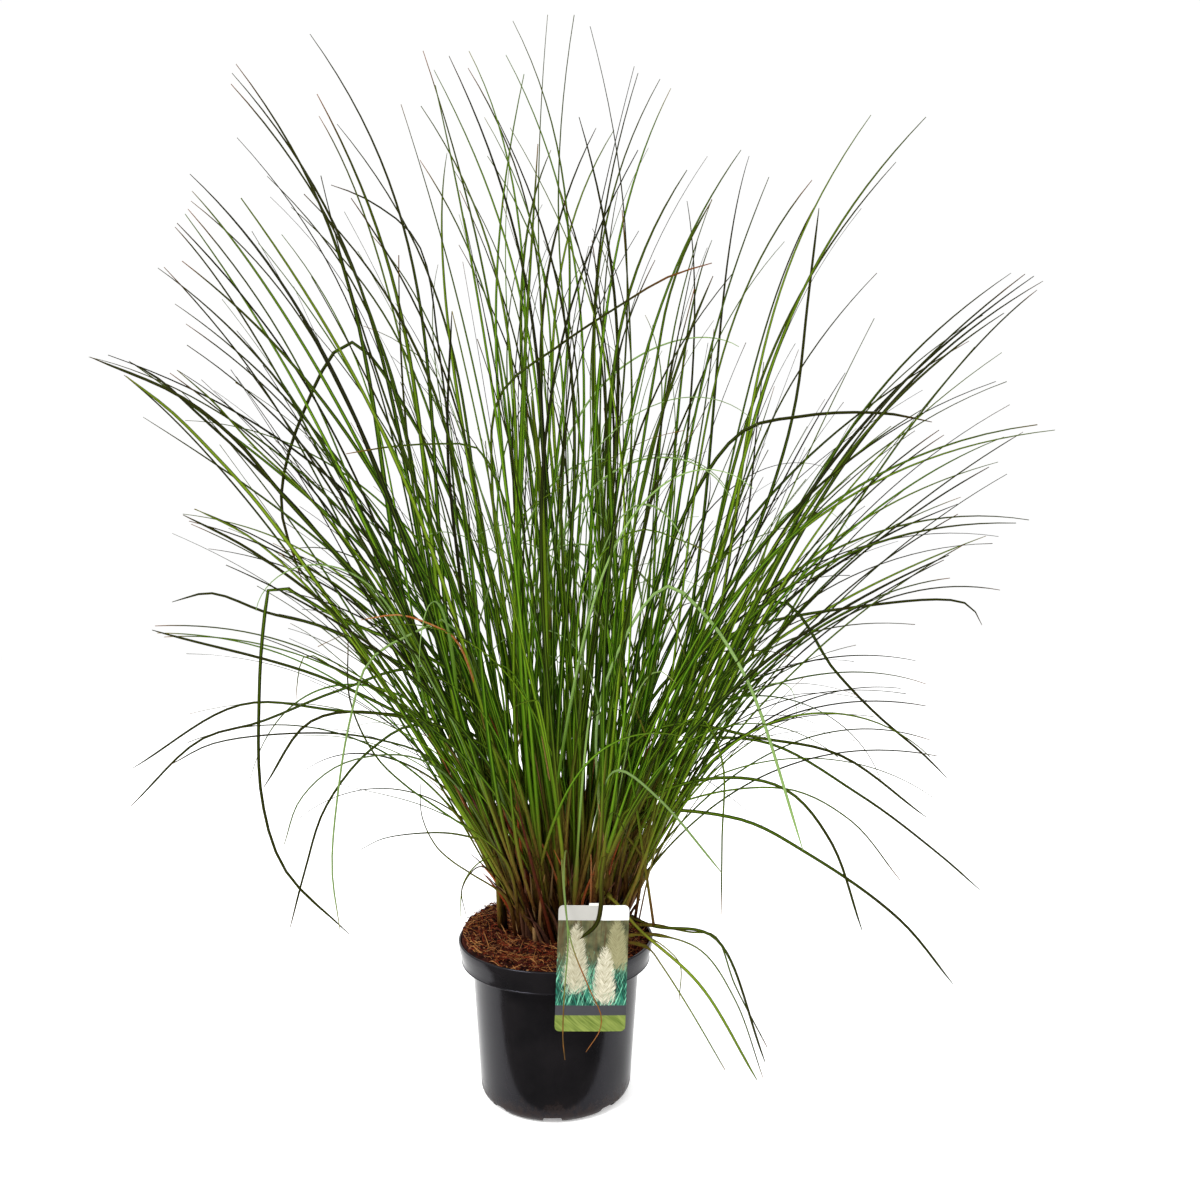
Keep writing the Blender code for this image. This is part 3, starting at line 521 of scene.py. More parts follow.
# Composted bark is darker than coir and duller, with a paler broken edge here and there
composted_bark = tone_material("composted_bark", (
    (0.20, "#0c0301"), (0.60, "#331006"), (0.88, "#5a2410"), (1.0, "#7a5638")), 0.85, 1.0)
soil_chance = np.random.default_rng(5)
shape = bmesh.new()
bmesh.ops.create_cone(shape, cap_ends=True, segments=3, radius1=1, radius2=1, depth=1)
bmesh.ops.translate(shape, vec=(0, 0, 0.5), verts=shape.verts)
for i in range(1, FIBRE_STEPS):
    cut_through(shape, (0, 0, i / FIBRE_STEPS), (0, 0, 1))
strand_blank, strand_points = blank_mesh("strand_blank", shape)
shape = bmesh.new()
bmesh.ops.create_icosphere(shape, subdivisions=1, radius=1)
grain_blank, grain_points = blank_mesh("grain_blank", shape)
places = [fibre_places(soil_chance, strand_points) for _ in range(FIBRE_COUNT)]
loose_soil = [repeated("coir_fibres", strand_blank, places,
                       flat_tones(soil_chance, FIBRE_COUNT, len(strand_points)), coir_fibre, 80)]
# Each kind of grain: its name and count, how far out it lies, its lengths, how slim and how knobbly it
# is, and how much it may be tipped
for name, count, *kind in (
        ("bark_chips", CHIP_COUNT, 0.1030, (0.0025, 0.0085), (0.14, 0.4), 0.05, 0.5),
        ("peat_crumbs", CRUMB_COUNT, 0.1055, (0.0010, 0.0034), (0.6, 1.0), 0.09, 1.0)):
    places = [grain_places(soil_chance, grain_points, *kind) for _ in range(count)]
    loose_soil.append(repeated(name, grain_blank, places,
                               flat_tones(soil_chance, count, len(grain_points)), composted_bark, 30))
for loose in loose_soil:
    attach(loose, "root")

# Grass shoots: living leaves, each a folded sheath at the foot and a keeled blade that tapers to a
# hair. Every shoot grows from the crown in the soil, and has the leaves of its solid and finer ones.
SHOOT_COUNT = 46
GOLDEN_ANGLE = math.pi * (3 - math.sqrt(5))
INNER_LEAN = math.radians(2)
OUTER_LEAN = math.radians(31)
SHEATH_END = 0.10
BLADE_HALF_WIDTH = 0.0031
TIP_HALF_WIDTH = 0.0004
TAPER_START = 0.42
LONGEST_COLLAR = 0.3
SIDE_COLLAR = 0.08
SHORT_BLADE_SHARE = 0.5
FULL_BLADE_LENGTH = 0.9
FOOT_TRIM = 0.004
SIDE_LEAF_STARTS = (0.050, 0.085, 0.120)
SIDE_LEAF_START_WIDTH = 0.0023
LEAF_CLEARANCE = 0.0006
MAIN_LEAF_POINTS = 10
SIDE_LEAF_POINTS = 9
TRIES = 90
MAX_LEAVES = 3
TOP_LEVEL = 1.15
FRONT_REACH = 0.43
BACK_REACH = 0.52
DEEP_FACING = 0.62
SEED = 12

# How a leaf bends: its tip leans more than its chord by a share of how much the chord leans more
# than the foot, and sways aside by a wave over the tip's place
DROOP = 1.4
LEAST_DROOP = 0.42
STEEPEST_TIP = math.radians(165)
SWAY = 0.8
SWAY_RATE = 80
FOOT_PULL = 0.42
TIP_PULL = 0.36
ARCH_STEPS = 40
SPLINE_STEPS = 12
STRAIGHT_START = 0.06

# How leaves are dealt out: outer leaves reach far and low, and a leaf that has no room is shifted
CROWN_FILL_REACH = 0.42
CROWN_FILL_POWER = 0.9
LEAF_COST = 0.014
LEAST_REACH = 0.2
REACH_SHARES = (0.7, 1)
OUTER_DROP = 0.62
DROP_SHARES = (0.35, 1.1)
BEARING_SPREAD = 0.4
OWN_REACH = 0.08
OWN_SPREAD = 0.30
OWN_LEVEL = 1.13
OWN_DROP = 1.2
TRY_STEP = 0.006
TURN_PER_SHIFT = 1.5
CARD_LINES = (-0.024, 0, 0.024)
CARD_LEVELS = (0.125, 0.18, 0.235)
CARD_ROOM = 0.013
CARD_SETBACK = 0.009
RING_STEPS = 24
PARALLEL_LIMIT = 1e-12
# Radius, height and half width of each ring that stands for the pot
POT_RINGS = ((0.108, 0.161, 0.011), (0.101, 0.140, 0.018), (0.082, 0.070, 0.020), (0.080, 0.020, 0.020))
LABEL_X = 0.0440
LABEL_Y = -0.1110
FRAME_MIDDLE = FRAME_PIXELS / 2

# How a leaf is made: wrapped round as a sheath at its foot, then a flat blade with a keel
LEAF_STEPS = 40
BROWN_END = 0.28
SHEATH_THICKNESS = 0.80
BLADE_THICKNESS = 0.07
LEAST_THICKNESS = 0.00012
FOLDS = (0.5, 1.0)
DRY_TIPS = (-0.08, 0.06)
DRY_FADE = 0.12
DRIEST = 0.9
DARK_TONE = 0.35
PALE_DEPTH = -0.2
TRACED_TURN = 0.2
LOOSE_TURN = 0.6
SIDE_LEAF_ROOT = 0.06
WIDEST_PLACE = 0.3
TAPER_PLACES = (0.62, 0.86, 0.96)
TAPER_LOSSES = (0, 0.24, 0.53, 0.71)
# How wide the blades are, as shares of the widest: traced whole, traced by the tip, or made by a rule
SCALES = {"route": (0.65, 0.85), "tip": (0.62, 1.0), "rule": (0.50, 0.75)}
FINE_SHEATH_SHARE = 0.82
EXTRA_SCALE = 0.5
EXTRA_TIP_WIDTH = 0.9
EXTRA_TIP_DRYNESS = 0.05
EXTRA_LEAF_COST = 0.010
TRACED_TAPER = 0.55

# Companions: finer leaves beside the traced ones, which keep side by side with them up to their tips
COMPANIONS = 0.9
COMPANION_SPREAD = 0.003
COMPANION_SIZES = (0.5, 0.96)
COMPANION_TURNS = (("X", 0.03), ("Y", 0.03), ("Z", 0.07))
COMPANION_SCALES = (0.4, 0.75)
HANGING = 0.05

# Fillers: finer leaves from the soil beside a shoot, or from a collar, at some metres up its main leaf.
# Most bend a little, some arch over, and a few have a kink. Leans and bends are in radians
FILLERS = 4
FILLERS_FROM_SOIL = 0.45
FOOT_SPREAD = 0.004
FILLER_SHEATH_SHARES = (0.55, 0.80)
FILLER_START_SHARES = (0.8, 1.1)
WIDEST_BARE_START = SIDE_LEAF_START_WIDTH * 1.1
FILLER_SCALES = (0.35, 0.70)
FILLER_COLLARS = (0.02, 0.15)
FILLER_LENGTHS = (0.30, 0.80)
FILLER_LEAN_SHARES = (0.7, 1.1)
FILLER_POWERS = (1.3, 2.4)
FILLER_SWAY = 0.2
ARCHED_BENDS = (0.9, 1.9)
KINKED_SHARE = 0.05
KINKS = (0.5, 1.7)
KINK_PLACES = (0.45, 0.8)
PALE_SHARE = 0.06

# Thin leaves: low arches that come down again outside the clump, and curls inside it
THIN_START = SIDE_LEAF_START_WIDTH * 0.8
THIN_SCALES = (0.5, 0.8)
LOW_ARC_SHARE = 0.3
LOW_ARC_COLLARS = (0.05, 0.22)
LOW_ARC_LEANS = (0.05, 0.35)
LOW_ARC_BENDS = (0.9, 2.1)
LOW_ARC_LENGTHS = (0.32, 0.70)
LOW_ARC_POWERS = (1.0, 1.8)
LOW_ARC_SWAY = 0.25
CURL_SHARE = 0.7
CURL_COLLARS = (0.10, 0.40)
CURL_BENDS = (1.2, 2.8)
CURL_LENGTHS = (0.22, 0.55)
CURL_POWERS = (1.6, 3.0)
CURL_SWAY = 0.8

# Where the finer leaves may go: above the rim, clear of the label and inside the plant's own outline
ROOM_TRIES = 30
LOWEST_LOOSE_LEAF = 0.25
LOOSE_LEAF_REACH = 0.115
LABEL_SIDE_ROOM = 0.042
LABEL_BACK_ROOM = 0.04
LABEL_FRONT_ROOM = 0.012
LABEL_ROOM_TOP = 0.25
BOX_MARGIN = 0.006

# Sizes of the patterns on a leaf
MOTTLE_MM = 71.4
SHEATH_STREAK_MM = 1.43
SHEATH_STREAK_LENGTH_MM = 55.6
RIB_MM = 0.52
SHEATH_TINT_LEVELS = (0.168, 0.420)

# Leaf tips seen in the photograph: column, row, and the tip's distance behind the pot's axis in mm
LEAF_TIPS = (
    # Top, from left to right
    (513, 21, -5), (469, 51, 20), (449, 56, -60), (434, 70, 70), (421, 106, -110),
    (506, 55, 50), (524, 74, -150), (447, 153, 210), (538, 144, -240), (551, 150, 250),
    (579, 117, -90), (596, 128, 60), (614, 130, 170), (638, 73, -40), (660, 79, 60),
    (638, 150, -230), (687, 170, -130), (687, 201, 220), (712, 199, -30), (741, 150, 20),
    (749, 156, 110), (769, 177, -120), (712, 240, 300), (732, 274, -280),
    # Upper left
    (310, 34, -40), (236, 64, -30), (232, 73, 60), (317, 94, -140), (337, 124, 190),
    (193, 131, 10), (190, 174, -100), (267, 176, 240), (192, 191, 120), (185, 214, -20),
    (241, 198, -200), (291, 207, 300), (304, 194, -260), (158, 268, 40), (182, 261, -140),
    (175, 304, 170), (187, 345, -230), (177, 370, 110), (89, 357, 20), (108, 355, -90),
    (129, 361, 160), (183, 514, 60), (189, 521, -80), (226, 565, -200),
    # Upper right
    (871, 115, 20), (926, 117, -30), (896, 162, 140), (1011, 273, 30), (1034, 276, -70),
    (1043, 281, 110), (1004, 313, -160), (969, 341, 230), (928, 406, 170), (975, 441, -190),
    (1004, 437, 60), (1055, 430, -10), (998, 462, 150), (958, 504, 280), (1029, 520, 20),
    (1016, 523, -110), (986, 536, 180), (949, 555, -260), (1004, 601, -40), (926, 684, 160),
)

# Leaves whose whole route shows: the tip's distance behind the pot's axis in mm, then columns and rows
LEAF_ROUTES = (
    # Left: low arches, a kinked leaf that hangs to the rim and one that folds back down
    (30, (470, 720), (330, 630), (265, 612), (210, 593), (172, 602)),
    (-60, (500, 790), (345, 687), (152, 630)),
    (60, (480, 740), (330, 710), (240, 705), (133, 768)),
    (-40, (500, 740), (420, 670), (340, 690), (260, 722), (200, 740), (131, 806)),
    (-150, (500, 760), (375, 713), (310, 722), (264, 787)),
    (-120, (500, 800), (420, 725), (370, 750), (325, 808), (305, 870), (290, 928)),
    (-60, (470, 690), (330, 614), (272, 586), (264, 622), (259, 700), (262, 800), (285, 870), (349, 934)),
    (90, (500, 640), (400, 400), (348, 342), (300, 420), (281, 504), (302, 581)),
    # Right: upright spear, long arches, and the low bunch that kinks over the rim
    (0, (690, 700), (775, 480), (796, 400), (808, 300), (819, 208)),
    (-70, (640, 640), (736, 436), (802, 416), (884, 413), (932, 422)),
    (70, (640, 720), (720, 640), (863, 606), (968, 604), (982, 625)),
    (20, (640, 740), (779, 601), (835, 671), (876, 714), (924, 755), (947, 778)),
    (-210, (600, 700), (666, 586), (704, 614), (730, 649), (755, 698), (803, 850)),
    (-240, (600, 760), (663, 647), (687, 698), (703, 800), (705, 895)),
    (-70, (620, 820), (735, 818), (810, 855), (900, 920), (953, 984)),
    (30, (640, 760), (755, 740), (860, 795), (940, 855), (980, 890)),
    (-130, (620, 760), (670, 725), (760, 738), (840, 755), (926, 817)),
    (-180, (620, 820), (700, 780), (783, 788), (830, 840), (862, 930)),
    (-190, (600, 900), (650, 925), (715, 938), (765, 1062)),
    (-215, (600, 890), (640, 930), (700, 985), (757, 1080)),
)

# More leaves that show, as the tips above, which are too fine for the solids
EXTRA_TIPS = (
    (468, 68, 130), (231, 84, -110), (319, 116, 40), (191, 201, 170), (188, 209, -60), (175, 227, 90),
    (177, 223, -150), (164, 267, -70), (186, 324, 140), (351, 198, -160), (370, 233, 220), (170, 373, -120),
    (124, 375, 60), (194, 509, -30), (191, 524, 110), (155, 626, -60), (157, 633, 50), (164, 637, 120),
    (812, 180, -50), (817, 202, 90), (1025, 274, -150), (1037, 290, 160), (939, 430, -90), (944, 435, 60),
    (1023, 432, 120), (989, 467, -130), (961, 497, 200), (958, 514, -60), (965, 544, 90), (944, 560, -180),
    (950, 578, 40), (1000, 590, 150), (926, 706, -90), (930, 740, 60), (937, 756, -160), (714, 329, 180),
    (452, 311, -140), (420, 160, 30), (560, 190, -60), (592, 240, 80), (622, 210, -180), (655, 260, 60),
)

# More leaves whose whole route shows: how wide, how dry and how pale each one is (or how dark, below 0),
# then columns, rows and distances behind the pot's axis in mm. First the hanging and crossing ones
EXTRA_ROUTES = (
    (1.0, 0.05, 0, (560, 930, 0), (500, 760, -20), (462, 560, 10), (440, 360, 30), (417, 242, 40),
     (366, 199, 50), (331, 185, 60)),
    (1.0, 0.05, 0, (540, 930, 0), (480, 820, -40), (430, 758, -70), (380, 740, -80), (320, 733, -90),
     (215, 743, -95), (170, 765, -90)),
    (1.0, 0.05, 2, (545, 925, 0), (500, 790, -60), (470, 660, -110), (445, 620, -130), (420, 630, -135),
     (370, 660, -140), (350, 720, -140), (337, 800, -140), (332, 870, -140), (340, 930, -138)),
    (1.0, 0.05, 1, (535, 930, -20), (480, 820, -60), (440, 770, -90), (400, 755, -100), (340, 765, -110),
     (300, 800, -110), (284, 845, -108)),
    (1.0, 0.05, 0, (550, 930, 0), (480, 800, -20), (400, 700, -30), (350, 678, -30), (306, 655, -30),
     (297, 683, -30), (297, 700, -30)),
    (1.0, 0.05, 0, (520, 935, -30), (505, 860, -70), (440, 810, -100), (405, 785, -110),
     (375, 755, -115), (350, 700, -110), (348, 640, -100)),
    (1.0, 0.05, 0, (590, 930, 0), (560, 760, -60), (520, 560, -140), (490, 465, -180), (475, 447, -190),
     (440, 444, -200), (390, 447, -210), (346, 454, -215)),
    (1.0, 0.1, 0, (570, 930, 0), (520, 700, -60), (492, 480, -120), (500, 395, -150), (560, 345, -170),
     (619, 306, -185), (668, 277, -200), (712, 263, -210)),
    (1.0, 0.05, 0, (575, 930, 0), (575, 700, -90), (590, 570, -160), (639, 530, -185), (680, 540, -195),
     (717, 556, -200)),
    (1.0, 0.05, 2, (600, 930, -10), (625, 760, -110), (643, 683, -150), (659, 671, -155),
     (676, 683, -160)),
    (1.5, 0.03, 2, (580, 935, -10), (600, 800, -100), (620, 770, -150), (660, 800, -165),
     (722, 873, -180)),
    (1.0, 0.05, 0, (610, 935, 0), (650, 820, -30), (780, 788, -40), (850, 820, -45), (900, 880, -50)),
    (1.0, 0.05, 0, (600, 930, 0), (650, 760, -90), (700, 718, -130), (722, 760, -140), (722, 840, -140),
     (721, 915, -140)),
    (1.0, 0.05, 0, (608, 940, -30), (640, 925, -60), (690, 932, -80), (715, 936, -90), (735, 985, -95),
     (767, 1047, -95)),
    (1.0, 0.05, 0, (608, 942, -30), (645, 934, -70), (700, 950, -100), (735, 1000, -110),
     (763, 1078, -115)),
    (1.0, 0.05, 0, (610, 942, -30), (648, 948, -85), (662, 966, -100), (690, 1010, -112),
     (725, 1070, -118)),
    (1.0, 0.05, 0, (610, 940, -30), (645, 936, -80), (668, 950, -95), (680, 965, -102),
     (679, 1000, -108)),
    (3.4, 0.02, -1, (600, 925, -40), (606, 850, -90), (601, 880, -122), (601, 905, -128),
     (596, 925, -128), (580, 939, -127)),
    (0.9, 0.28, 2, (575, 925, -40), (566, 850, -90), (564, 880, -118), (568, 940, -126),
     (564, 1000, -126), (563, 1040, -122), (565, 1060, -118)),
    (0.8, 0.42, 2, (570, 925, -40), (562, 860, -90), (565, 905, -120), (572, 945, -127),
     (590, 990, -128), (601, 1015, -127), (600, 1030, -124), (586, 1052, -120)),
    (1.0, 0.05, 0, (520, 925, -10), (505, 860, -30), (480, 862, -70), (463, 885, -95), (461, 925, -105)),
    (1.0, 0.05, 0, (520, 930, -10), (500, 880, -50), (478, 867, -80), (462, 890, -104),
     (466, 915, -116)),
    # The wide olive leaf in the middle and the rolled spear left of it
    (2.2, 0.0, 0, (550, 930, 0), (548, 760, -50), (546, 600, -85), (541, 480, -112), (531, 396, -125)),
    (1.6, 0.0, 0, (505, 930, 0), (482, 760, -45), (463, 600, -75), (448, 450, -92), (452, 311, -100)),
    # The long flat leaves of the left fan, and some of the right one
    (1.7, 0.02, 0, (535, 930, 0), (490, 800, -20), (424, 660, -30), (368, 588, -40), (320, 536, -50),
     (280, 492, -60), (236, 440, -70), (180, 396, -80), (90, 357, -90)),
    (1.7, 0.02, 0, (530, 930, -10), (500, 880, -20), (420, 740, -50), (340, 616, -80), (292, 548, -100),
     (252, 496, -110), (212, 452, -120), (172, 412, -130), (126, 376, -140)),
    (1.5, 0.02, 0, (530, 930, 10), (460, 770, 10), (384, 620, 20), (336, 556, 25), (296, 508, 30),
     (248, 460, 35), (200, 416, 40), (160, 380, 45), (130, 362, 50)),
    (1.4, 0.02, 0, (535, 930, 0), (470, 760, -30), (392, 604, -60), (352, 548, -70), (304, 492, -80),
     (256, 448, -90), (212, 400, -100), (177, 370, -110)),
    (1.6, 0.02, 0, (530, 930, -10), (480, 820, -40), (408, 700, -80), (368, 652, -100), (328, 608, -110),
     (288, 576, -120), (240, 544, -130), (183, 515, -140)),
    (1.4, 0.02, 0, (530, 930, 0), (480, 830, -20), (400, 710, -40), (336, 620, -50), (296, 576, -55),
     (248, 536, -60), (195, 509, -65)),
    (1.3, 0.02, 0, (590, 930, 0), (612, 640, -40), (640, 460, -60), (656, 364, -70), (668, 300, -80),
     (688, 244, -90), (712, 200, -100)),
    (1.4, 0.02, 0, (595, 930, -10), (620, 620, -70), (648, 460, -100), (660, 420, -110),
     (676, 372, -120), (696, 316, -130), (713, 276, -140)),
    (1.2, 0.02, 0, (600, 930, 10), (612, 720, 10), (640, 540, 20), (676, 436, 25), (688, 408, 30),
     (712, 354, 35)),
    # The orange dead leaf left of the middle
    (1.2, 0.5, 0, (500, 930, 0), (490, 760, -60), (470, 670, -120), (453, 637, -140), (427, 623, -150),
     (399, 615, -155), (361, 620, -158)),
)


def from_photo(column, row, depth):
    """Returns the point seen at a pixel, at a depth in metres behind the pot's axis."""
    scale = (depth - EYE.y) / FOCAL_PIXELS
    return Vector((EYE.x + (column - FRAME_MIDDLE) * scale, depth, EYE.z - (row - FRAME_MIDDLE) * scale))


def to_photo(point):
    """Returns the pixel column and row at which a point is seen."""
    scale = FOCAL_PIXELS / (point.y - EYE.y)
    return FRAME_MIDDLE + (point.x - EYE.x) * scale, FRAME_MIDDLE - (point.z - EYE.z) * scale


def direction(bearing, lean):
    """Returns the unit vector that leans from vertical towards a bearing."""
    return Vector((math.sin(lean) * math.cos(bearing), math.sin(lean) * math.sin(bearing), math.cos(lean)))


def travelled(chain):
    """Returns how far along a chain of points each of them is."""
    steps = np.linalg.norm(np.diff(chain, axis=0), axis=1)
    return np.concatenate([[0], np.cumsum(steps)])


def evenly(points, count):
    """Returns points at equal distances along a chain of points."""
    chain = np.array([tuple(point) for point in points])
    distances = travelled(chain)
    wanted = np.linspace(0, distances[-1], count)
    return np.stack([np.interp(wanted, distances, chain[:, axis]) for axis in range(3)], axis=1)


def arched(foot, rise, tip):
    """Returns a route from a foot that sets off along rise and bends over to a tip."""
    chord = tip - foot
    flat = Vector((chord.x, chord.y, 0))
    chord_lean = math.atan2(flat.length, chord.z)
    lean = math.acos(max(-1, min(1, rise.z)))
    tip_lean = min(STEEPEST_TIP, chord_lean + max(LEAST_DROOP, DROOP * (chord_lean - lean)))
    sway = SWAY * math.cos(chord_lean) ** 2 * math.sin(SWAY_RATE * (tip.x + tip.z))
    tip_way = direction(math.atan2(chord.y, chord.x) + sway, tip_lean)
    handle_1 = foot + rise * chord.length * FOOT_PULL
    handle_2 = tip - tip_way * chord.length * TIP_PULL
    return interpolate_bezier(foot, handle_1, handle_2, tip, ARCH_STEPS)


def through(points):
    """Returns a smooth route through points, by a centripetal Catmull-Rom spline."""
    points = [points[0] * 2 - points[1]] + points + [points[-1] * 2 - points[-2]]
    route = []
    for p0, p1, p2, p3 in zip(points, points[1:], points[2:], points[3:]):
        t1 = (p1 - p0).length ** 0.5
        t2 = t1 + (p2 - p1).length ** 0.5
        t3 = t2 + (p3 - p2).length ** 0.5
        for i in range(SPLINE_STEPS):
            t = t1 + (t2 - t1) * i / SPLINE_STEPS
            a1 = p0.lerp(p1, t / t1)
            a2 = p1.lerp(p2, (t - t1) / (t2 - t1))
            a3 = p2.lerp(p3, (t - t2) / (t3 - t2))
            b1 = a1.lerp(a2, t / t2)
            b2 = a2.lerp(a3, (t - t1) / (t3 - t1))
            route.append(b1.lerp(b2, (t - t1) / (t2 - t1)))
    return route + [points[-2]]


class Shoot:
    """One shoot: where it leaves the soil, which way it leans, and the leaves it carries."""

    def __init__(self, number):
        share = math.sqrt((number + 0.5) / SHOOT_COUNT)
        self.bearing = number * GOLDEN_ANGLE
        self.lean = INNER_LEAN + (OUTER_LEAN - INNER_LEAN) * share
        offset = Vector((math.cos(self.bearing), math.sin(self.bearing), 0)) * CROWN_RADIUS * share
        self.foot = Vector((CROWN_X, CROWN_Y, CROWN_LEVEL - FOOT_TRIM)) + offset
        self.rise = direction(self.bearing, self.lean)
        # Leaves to be routed, their routes as in the solid, the same in full, and ones too fine for it
        self.leaves = []
        self.routes = []
        self.fine_routes = []
        self.extras = []


def footprint(tip):
    """Returns the place in the crown that a leaf with this tip would grow from."""
    away = Vector((tip.x - CROWN_X, tip.y - CROWN_Y))
    share = min(1, away.length / CROWN_FILL_REACH) ** CROWN_FILL_POWER
    return Vector((CROWN_X, CROWN_Y)) + away.normalized() * CROWN_RADIUS * share


def photo_route(foot, rise, depth, pixels):
    """Returns a route from a foot through pixels, whose depth changes evenly up to the tip."""
    seen = [Vector(to_photo(foot))] + [Vector(pixel) for pixel in pixels]
    steps = [(b - a).length for a, b in zip(seen, seen[1:])]
    points = [foot, foot + rise * STRAIGHT_START]
    passed = 0
    for pixel, step in zip(seen[1:], steps):
        passed += step
        share = passed / sum(steps)
        points.append(from_photo(pixel.x, pixel.y, foot.y + (depth - foot.y) * share))
    return through(points)


def leaf_route(shoot, leaf, foot, shift):
    """Returns a leaf's route from its foot, with its tip shifted along the line of sight."""
    kind, depth, pixels = leaf
    if kind == "route":
        return photo_route(foot, shoot.rise, depth + shift, pixels)
    if kind == "tip":
        return arched(foot, shoot.rise, from_photo(*pixels, depth + shift))
    reach, height, bearing = pixels
    bearing += shift * TURN_PER_SHIFT
    tip = Vector((CROWN_X + reach * math.cos(bearing), CROWN_Y + reach * math.sin(bearing), height))
    return arched(foot, shoot.rise, tip)


def give_leaves(shoots, chance):
    """Deals the traced leaves to the shoots that face them, then fills up the other shoots."""
    traced = [("route", depth / 1000, pixels) for depth, *pixels in LEAF_ROUTES]
    traced += [("tip", depth / 1000, (column, row)) for column, row, depth in LEAF_TIPS]
    for leaf in traced:
        end = leaf[2][-1] if leaf[0] == "route" else leaf[2]
        place = footprint(from_photo(*end, leaf[1]))
        free = [shoot for shoot in shoots if len(shoot.leaves) < MAX_LEAVES]
        best = min(free, key=lambda s: (s.foot.xy - place).length + LEAF_COST * len(s.leaves))
        best.leaves.append(leaf)
    for shoot in shoots:
        facing = math.sin(shoot.bearing)
        wanted = MAX_LEAVES if abs(facing) > DEEP_FACING else 2
        farthest = BACK_REACH if facing > 0 else FRONT_REACH
        share = (shoot.foot.xy - Vector((CROWN_X, CROWN_Y))).length / CROWN_RADIUS
        while len(shoot.leaves) < wanted:
            bearing = shoot.bearing + chance.uniform(-BEARING_SPREAD, BEARING_SPREAD)
            reach = farthest * (LEAST_REACH + (1 - LEAST_REACH) * share * chance.uniform(*REACH_SHARES))
            height = TOP_LEVEL - OUTER_DROP * share ** 2 * chance.uniform(*DROP_SHARES)
            shoot.leaves.append(("rule", 0, (reach, height, bearing)))


def segment_gap(route_a, widths_a, route_b, widths_b):
    """Returns the least gap between two chains of round segments."""
    start_a, along_a = route_a[:-1, None], np.diff(route_a, axis=0)[:, None]
    start_b, along_b = route_b[None, :-1], np.diff(route_b, axis=0)[None]
    between = start_a - start_b
    square_a = (along_a * along_a).sum(-1)
    square_b = (along_b * along_b).sum(-1)
    shared = (along_a * along_b).sum(-1)
    ahead_a = (along_a * between).sum(-1)
    ahead_b = (along_b * between).sum(-1)
    spread = np.maximum(square_a * square_b - shared * shared, PARALLEL_LIMIT)
    share_a = np.clip((shared * ahead_b - ahead_a * square_b) / spread, 0, 1)
    share_b = np.clip((shared * share_a + ahead_b) / square_b, 0, 1)
    share_a = np.clip((shared * share_b - ahead_a) / square_a, 0, 1)
    distance = np.linalg.norm(between + along_a * share_a[..., None] - along_b * share_b[..., None], axis=-1)
    width_a = widths_a[:-1, None] * (1 - share_a) + widths_a[1:, None] * share_a
    width_b = widths_b[None, :-1] * (1 - share_b) + widths_b[None, 1:] * share_b
    return (distance - width_a - width_b).min()


def blade_half_width(length):
    """Returns the widest half width of a leaf's blade: short leaves are narrow."""
    grown = min(1, length / FULL_BLADE_LENGTH)
    return BLADE_HALF_WIDTH * (SHORT_BLADE_SHARE + (1 - SHORT_BLADE_SHARE) * grown)


def leaf_widths(is_main, length, count):
    """Returns the half widths along a leaf, from its foot to its tip."""
    along = np.linspace(0, 1, count)
    start = SHEATH_HALF_WIDTH if is_main else SIDE_LEAF_START_WIDTH
    blade = blade_half_width(length)
    collar = min(LONGEST_COLLAR, SHEATH_END / length) if is_main else SIDE_COLLAR
    return np.interp(along, [0, collar, TAPER_START, 1], [start, start, blade, TIP_HALF_WIDTH])


def fixed_things():
    """Returns chains that stand for the label and the lip, which the leaves keep clear of."""
    things = []
    for x in CARD_LINES:
        card_line = np.array([(LABEL_X + x, LABEL_Y + CARD_SETBACK, z) for z in CARD_LEVELS])
        things.append((card_line, np.full(len(card_line), CARD_ROOM)))
    turns = [2 * math.pi * i / RING_STEPS for i in range(RING_STEPS + 1)]
    for radius, height, width in POT_RINGS:
        ring = np.array([(radius * math.cos(a), radius * math.sin(a), height) for a in turns])
        things.append((ring, np.full(len(ring), width)))
    return things


def along_main(shoot, distance):
    """Returns the point at a distance up a shoot's main leaf."""
    route = shoot.routes[0][0]
    return Vector([np.interp(distance, travelled(route), route[:, axis]) for axis in range(3)])


def clear_route(shoot, leaf, foot, placed, is_main):
    """Returns the first route and widths that keep clear of the placed leaves, or None."""
    for attempt in range(TRIES):
        shift = (attempt + 1) // 2 * TRY_STEP * (-1) ** attempt
        count = MAIN_LEAF_POINTS if is_main else SIDE_LEAF_POINTS
        whole = leaf_route(shoot, leaf, foot, shift)
        route = evenly(whole, count)
        length = np.linalg.norm(np.diff(route, axis=0), axis=1).sum()
        widths = leaf_widths(is_main, length, count)
        if all(segment_gap(route, widths, other, other_widths) > LEAF_CLEARANCE
               for owner, other, other_widths in placed if owner is not shoot):
            shoot.fine_routes.append((whole, leaf))
            return route, widths
    return None


